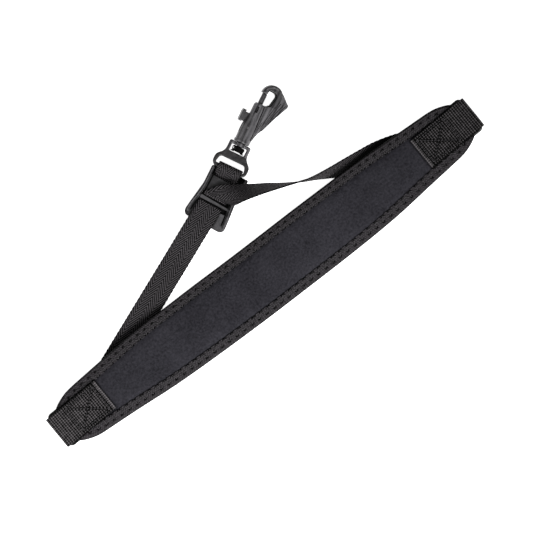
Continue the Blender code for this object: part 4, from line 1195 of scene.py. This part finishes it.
def show_moulding(name, cad_node, body, looks, details, voxel, which=None, smooth=3):
    """A moulded piece: its solid with the details joined on, all edges softened as a mould leaves them.

    which gives the number of the look at a place.
    """
    joined = bmesh.new()
    joined.from_mesh(frame["nodes"][cad_node].data)
    bmesh.ops.remove_doubles(joined, verts=joined.verts, dist=0.000001)
    for mesh, matrix in details:
        mesh.transform(matrix)
        joined.from_mesh(mesh)
        bpy.data.meshes.remove(mesh)
    bmesh.ops.recalc_face_normals(joined, faces=joined.faces)
    mesh = bpy.data.meshes.new(name)
    joined.to_mesh(mesh)
    joined.free()
    rough = add_object(name + "_rough", mesh)
    remesh = rough.modifiers.new("Remesh", "REMESH")
    remesh.mode = "VOXEL"
    remesh.voxel_size = voxel
    remesh.adaptivity = 0.0
    soften = rough.modifiers.new("Soften", "SMOOTH")
    soften.factor = 0.5
    soften.iterations = smooth
    bpy.context.view_layer.update()
    graph = bpy.context.evaluated_depsgraph_get()
    final = bpy.data.meshes.new_from_object(rough.evaluated_get(graph))
    bpy.data.objects.remove(rough)
    final.name = name
    final.materials.clear()
    for material in looks:
        final.materials.append(material)
    if len(looks) > 1:
        for face in final.polygons:
            face.material_index = int(which(face.center))
    final.shade_smooth()
    obj = add_object(name, final)
    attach(obj, body)
    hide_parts(cad_node)


def hook_roll():
    """How far the hook turns about its axis until the edge of its fin comes down to the floor."""
    reach = math.hypot(FIN_REACH, FIN_THICK / 2)
    drop = HOOK_HEIGHT - GAP
    return math.asin(drop / reach) - math.atan2(FIN_THICK / 2, FIN_REACH)


def flank_line(side, row, end, sunk):
    """A line down the hook's flank from under its barrel, for a row of the ridges or grooves."""
    reach, thick, start = row
    flank = side * (thick / 2 - sunk)
    low = FLANK_FOOT[1] + (reach - FLANK_FOOT[1]) * (start - FLANK_FOOT[0]) / FLANK_LENGTH
    return [(start, low, flank), (end, reach, flank)]


def hook_details():
    """Ridges on the hook's flanks, the ears of its head, a washer, a gate mark and the fin's edge."""
    rods = []
    for side in (-1, 1):
        for row in RIDGES:
            rods.append(rod(flank_line(side, row, RIDGE_END, 0.0001), 0.00062))
        bend = []
        for k in range(13):
            angle = math.radians(-70 + 135 * k / 12)
            reach = azimuth(angle) * BEND_RADIUS
            bend.append((BEND_AT[0] + reach.x, BEND_AT[1] + reach.y, side * (BOW_THICK / 2 - 0.0002)))
        rods.append(rod(bend, 0.0006))
        rods.append(rod([(HEAD_AT, side * 0.0026, 0.0), (HEAD_AT, side * 0.0053, 0.0)], 0.00070))
        rods.append(rod([(HEAD_AT, side * 0.0040, 0.0), (-0.0043, side * 0.0048, 0.0)], 0.00060))
    rods.append(rod([(x, 0.0, 0.0) for x in (-0.0005, -0.0004, 0.0004, 0.0005)], WASHER_RADIUS, 40))
    rods.append(rod(GATE_MARK, 0.0011, 20))
    rods.append(rod(FIN_EDGE, 0.0009, 12))
    return rods


def opening_rim(side):
    """The edge of the hook's opening on one face, from the barrel round to the tip."""
    corners = [
        (BARREL_LENGTH + 0.0010, -0.0060, 0.0), (0.0336, -0.0075, 0.0012), (0.0442, -0.0095, 0.0030),
        (0.0445, -0.0010, 0.0030), (TIP_AT + 0.0004, -0.0010, 0.0),
    ]
    return [(x, y, side * (BOW_THICK / 2 - 0.0005)) for x, y in fillet(corners, closed=False)]


def barrel_seam(side):
    """The line where the barrel's round flank meets the ribs."""
    seam = []
    for k in range(15):
        x = 0.0040 + 0.0270 * k / 14
        y = -0.0046 + 0.0010 * k / 14
        round_height = math.sqrt(max(along(BARREL_ROUND, x) ** 2 - y * y, 0.0))
        seam.append((x, y, side * max(round_height, BOW_THICK / 2)))
    return seam


def show_hook_grooves(axis):
    """Painted shade: dark lines in the grooves between the hook's ridges, round its opening and under its
    barrel.
    """
    lines = []
    for side in (-1, 1):
        lines += [(flank_line(side, row, GROOVE_END, 0.00005), 0.00034) for row in GROOVES]
        lines += [(opening_rim(side), 0.00042), (barrel_seam(side), 0.00036)]
    verts, faces = gathered(
        tube([axis @ Vector(point) for point in line], radius, 8) for line, radius in lines)
    grooves = show("hook_grooves", verts, faces, SHADE_PLASTIC, "hook")


def wedge(near, far, low, high, narrow):
    """A box from near to far in x and low to high in y, narrower by this much at its low end."""
    bottom = PLATE_TOP - PLATE_THICK
    corners = [(near + narrow, low), (far - narrow, low), (far, high), (near, high)]
    verts = [(x, y, z) for z in (bottom, bottom + WEB_SHEET) for x, y in corners]
    return verts, skin_faces(2, 4)


def show_slot_webs():
    """Thin dark floors beside the webbing in the slider's slots and dark lines inside its rails, all
    painted shade, and light beads along their crests, a painted highlight."""
    place = frame_at(SLIDER_AT, SLIDER_HEADING)
    parts = []
    for near, far, low, high in (
        (-SLOT_MIDDLE - SLOT_REACH, -SLOT_MIDDLE + SLOT_REACH, -0.0125, -0.0072),
        (SLOT_MIDDLE - SLOT_REACH, SLOT_MIDDLE + SLOT_REACH, -0.0125, -0.0072),
        (SLOT_MIDDLE - SLOT_REACH, SLOT_MIDDLE + SLOT_REACH, 0.0103, 0.0125),
        (SLIDER_HIGH - 0.0020, SLIDER_HIGH + 0.0066, 0.0092, 0.0138),
        (SLIDER_HIGH - 0.0020, SLIDER_HIGH + 0.0078, -0.0132, -0.0076),
    ):
        points, sides = wedge(near, far, low, high, 0.0)
        parts.append(([place @ Vector(point) for point in points], sides))
    for line in rail_lines(-0.0024, PLATE_TOP + 0.0001):
        parts.append(tube([place @ Vector(point) for point in line], 0.00055, 8))
    verts, faces = gathered(parts)
    webs = show("slider_webs", verts, faces, SHADE_PLASTIC, "strap")
    crests = [[place @ Vector(point) for point in line] for line in rail_lines(0.0, RAIL_TOP - 0.0001)]
    beads = show_tubes("slider_beads", crests, 0.00034, CREST_HIGHLIGHT_PLASTIC, "strap", 8)


def rail_lines(inward, height):
    """Lines along both rails at this height, this far in from the middle of each rail's crest."""
    lines = []
    count = 24
    for side, reach in RAIL_REACHES:
        rows = (*RAIL_PLAN, (SLIDER_HIGH + reach, RAIL_TIP))
        line = []
        for k in range(count + 1):
            x = rows[0][0] + (rows[-1][0] - rows[0][0]) * k / count
            line.append((x, side * (along(rows, x) + inward), height))
        lines.append(line)
    return lines


def show_bar_taper():
    """The crossbar's flat upper face, wide at its left end and narrower towards its right, in a lighter
    plastic as a painted highlight.
    """
    place = frame_at(SLIDER_AT, SLIDER_HEADING)
    verts, faces = wedge(-0.0013, 0.0013, -0.0112, 0.0112, 0.0007)
    rise = PLATE_THICK + CROSSBAR * 0.43 - WEB_SHEET
    bar = show("slider_bar_face", [place @ Vector((x, y, z + rise)) for x, y, z in verts], faces,
               LIT_BAR_PLASTIC, "strap")


def show_mouldings():
    """Slider, eye, hook and bolt."""
    axis = Matrix.Translation(ROOT) @ frame_at(HOOK_AT, HOOK_HEADING)
    axis = axis @ Matrix.Translation((0.0, 0.0, HOOK_HEIGHT)) @ Matrix.Rotation(hook_roll(), 4, "X")
    inverse = axis.inverted()
    from_slider = (Matrix.Translation(ROOT) @ frame_at(SLIDER_AT, SLIDER_HEADING)).inverted()

    def on_lit_corner(place):
        near = from_slider @ place
        return near.x < LIT_CORNER[0] and near.y < LIT_CORNER[1]

    show_moulding(
        "slider_moulding", "slider", "strap", [SLIDER_PLASTIC, LIT_SLIDER_PLASTIC], [],
        FINE_CELL, on_lit_corner)
    show_slot_webs()
    show_bar_taper()

    def on_frame(place):
        return (inverse @ place).x > EYE_FRAME_AT

    def on_hook(place):
        """The number of the look: stem and opening's wall dark with painted shade, then bow, then fin, both
        in shaded copies of the plastic, or else the barrel.
        """
        near = inverse @ place
        sill = SILL_AT - SILL_SLOPE * (near.x - BOW_FROM) - 0.0006
        wall = abs(near.z) < BOW_THICK / 2 - 0.0007
        inside = wall and OPENING[0] < near.x < OPENING[1] and sill < near.y < OPENING_TOP
        if near.x < -0.0001 or inside:
            return 1
        if near.x > BOW_FROM and near.y > BOW_LOW:
            return 2
        return 3 if near.y < FIN_FROM else 0

    show_moulding(
        "eye_moulding", "swivel_eye", "strap", [EYE_PLASTIC, HOOK_PLASTIC], [],
        CELL, on_frame)
    hook = [(mesh, axis) for mesh in hook_details()]
    hook_looks = [HOOK_PLASTIC, SHADE_PLASTIC, SHADED_BOW_PLASTIC, SHADED_FIN_PLASTIC]
    show_moulding(
        "hook_moulding", "hook_body", "hook", hook_looks, hook, CELL, on_hook, 2)
    into = Matrix.Translation(-ROOT) @ axis
    show_hook_grooves(into)
    knob_top = COLLAR_RADIUS + KNOB_LIFT + KNOB_THICK
    knob_back = NECK_BACK - 0.0005
    grips = []
    for height in (-0.0016, 0.0, 0.0016):
        near = (knob_back - 0.0002, knob_top - 0.0014, height)
        far = (knob_back + KNOB_LENGTH + 0.0008, knob_top - 0.0017, height)
        grips.append((rod([near, far], 0.0015, 14), axis))
    for k in range(3):
        x = knob_back + KNOB_LENGTH + 0.0006
        y = knob_top - 0.0005 - 0.0012 * k
        grips.append((rod([(x, y, -0.0022), (x, y, 0.0022)], 0.0006), axis))
    front = TIP_AT - 0.00008
    tip = [(front + ahead, 0.0, 0.0) for ahead in (-0.0010, -0.0002, 0.0002)]
    grips.append((rod(tip, 0.0019, 16), axis))
    show_moulding("bolt_moulding", "hook_bolt", "bolt", [BOLT_PLASTIC], grips, FINE_CELL)
    # Painted shade: a dark line along the bolt's seam
    seam = [into @ Vector((x, -0.0004, 0.00178)) for x in (0.0330, 0.0362, TIP_AT - 0.0008)]
    line = show_tubes("bolt_line", [seam], 0.00026, SHADE_PLASTIC, "bolt", 8)


# Studio

def show_studio():
    """A white floor and surround, a soft main light, a fill light and a camera straight above."""
    floor_mesh = bpy.data.meshes.new("floor")
    wide = 4.0
    corners = [(-wide, -wide, 0), (wide, -wide, 0), (wide, wide, 0), (-wide, wide, 0)]
    floor_mesh.from_pydata(corners, [], [(0, 1, 2, 3)])
    floor = add_object("floor", floor_mesh)
    floor.location.z = -0.0001
    paper, _, shader = new_material("paper", 0.9, 0.0)
    shader.inputs["Base Color"].default_value = (0.93, 0.93, 0.93, 1.0)
    shader.inputs["Emission Color"].default_value = (1.0, 1.0, 1.0, 1.0)
    shader.inputs["Emission Strength"].default_value = 0.85
    floor_mesh.materials.append(paper)
    world = bpy.data.worlds.new("studio")
    world.use_nodes = True
    world.node_tree.nodes["Background"].inputs["Color"].default_value = (1.0, 1.0, 1.0, 1.0)
    world.node_tree.nodes["Background"].inputs["Strength"].default_value = 0.45
    bpy.context.scene.world = world
    for name, place, size, power in (
        ("main_light", (-0.25, -0.55, 0.55), 0.35, 11.0),
        ("fill_light", (0.70, 0.90, 1.30), 1.2, 1.5),
    ):
        data = bpy.data.lights.new(name, "AREA")
        data.size = size
        data.energy = power
        light = add_object(name, data)
        light.location = place
        light.rotation_mode = "QUATERNION"
        light.rotation_quaternion = (-Vector(place)).to_track_quat("-Z", "Y")
        light.visible_camera = False
    distance = 4.0
    width = 0.39975
    subject = 0.004
    data = bpy.data.cameras.new("camera")
    data.sensor_width = 36.0
    data.angle = 2 * math.atan(width / 2 / (distance - subject))
    data.clip_end = 20.0
    camera = add_object("camera", data)
    right = Vector((0.7916, -0.6110, 0.0))
    up = Vector((0.6110, 0.7916, 0.0))
    turn = Matrix((right, up, Vector((0.0, 0.0, 1.0)))).transposed()
    centre = ROOT + Vector((0.00362, 0.00304, 0.0))
    camera.matrix_world = Matrix.Translation((centre.x, centre.y, distance)) @ turn.to_4x4()
    bpy.context.scene.camera = camera
    bpy.context.scene.view_settings.view_transform = "Standard"


show_studio()
show_pad()
show_binding()
show_binding_stitches()
for tab_name, tab_side in (("tab_left", -1), ("tab_right", 1)):
    show_tab(tab_name, tab_side)
for ring_name, ring_side in (("ring_left", -1), ("ring_right", 1)):
    show_ring(ring_name, ring_side)
show_strap()
show_mouldings()
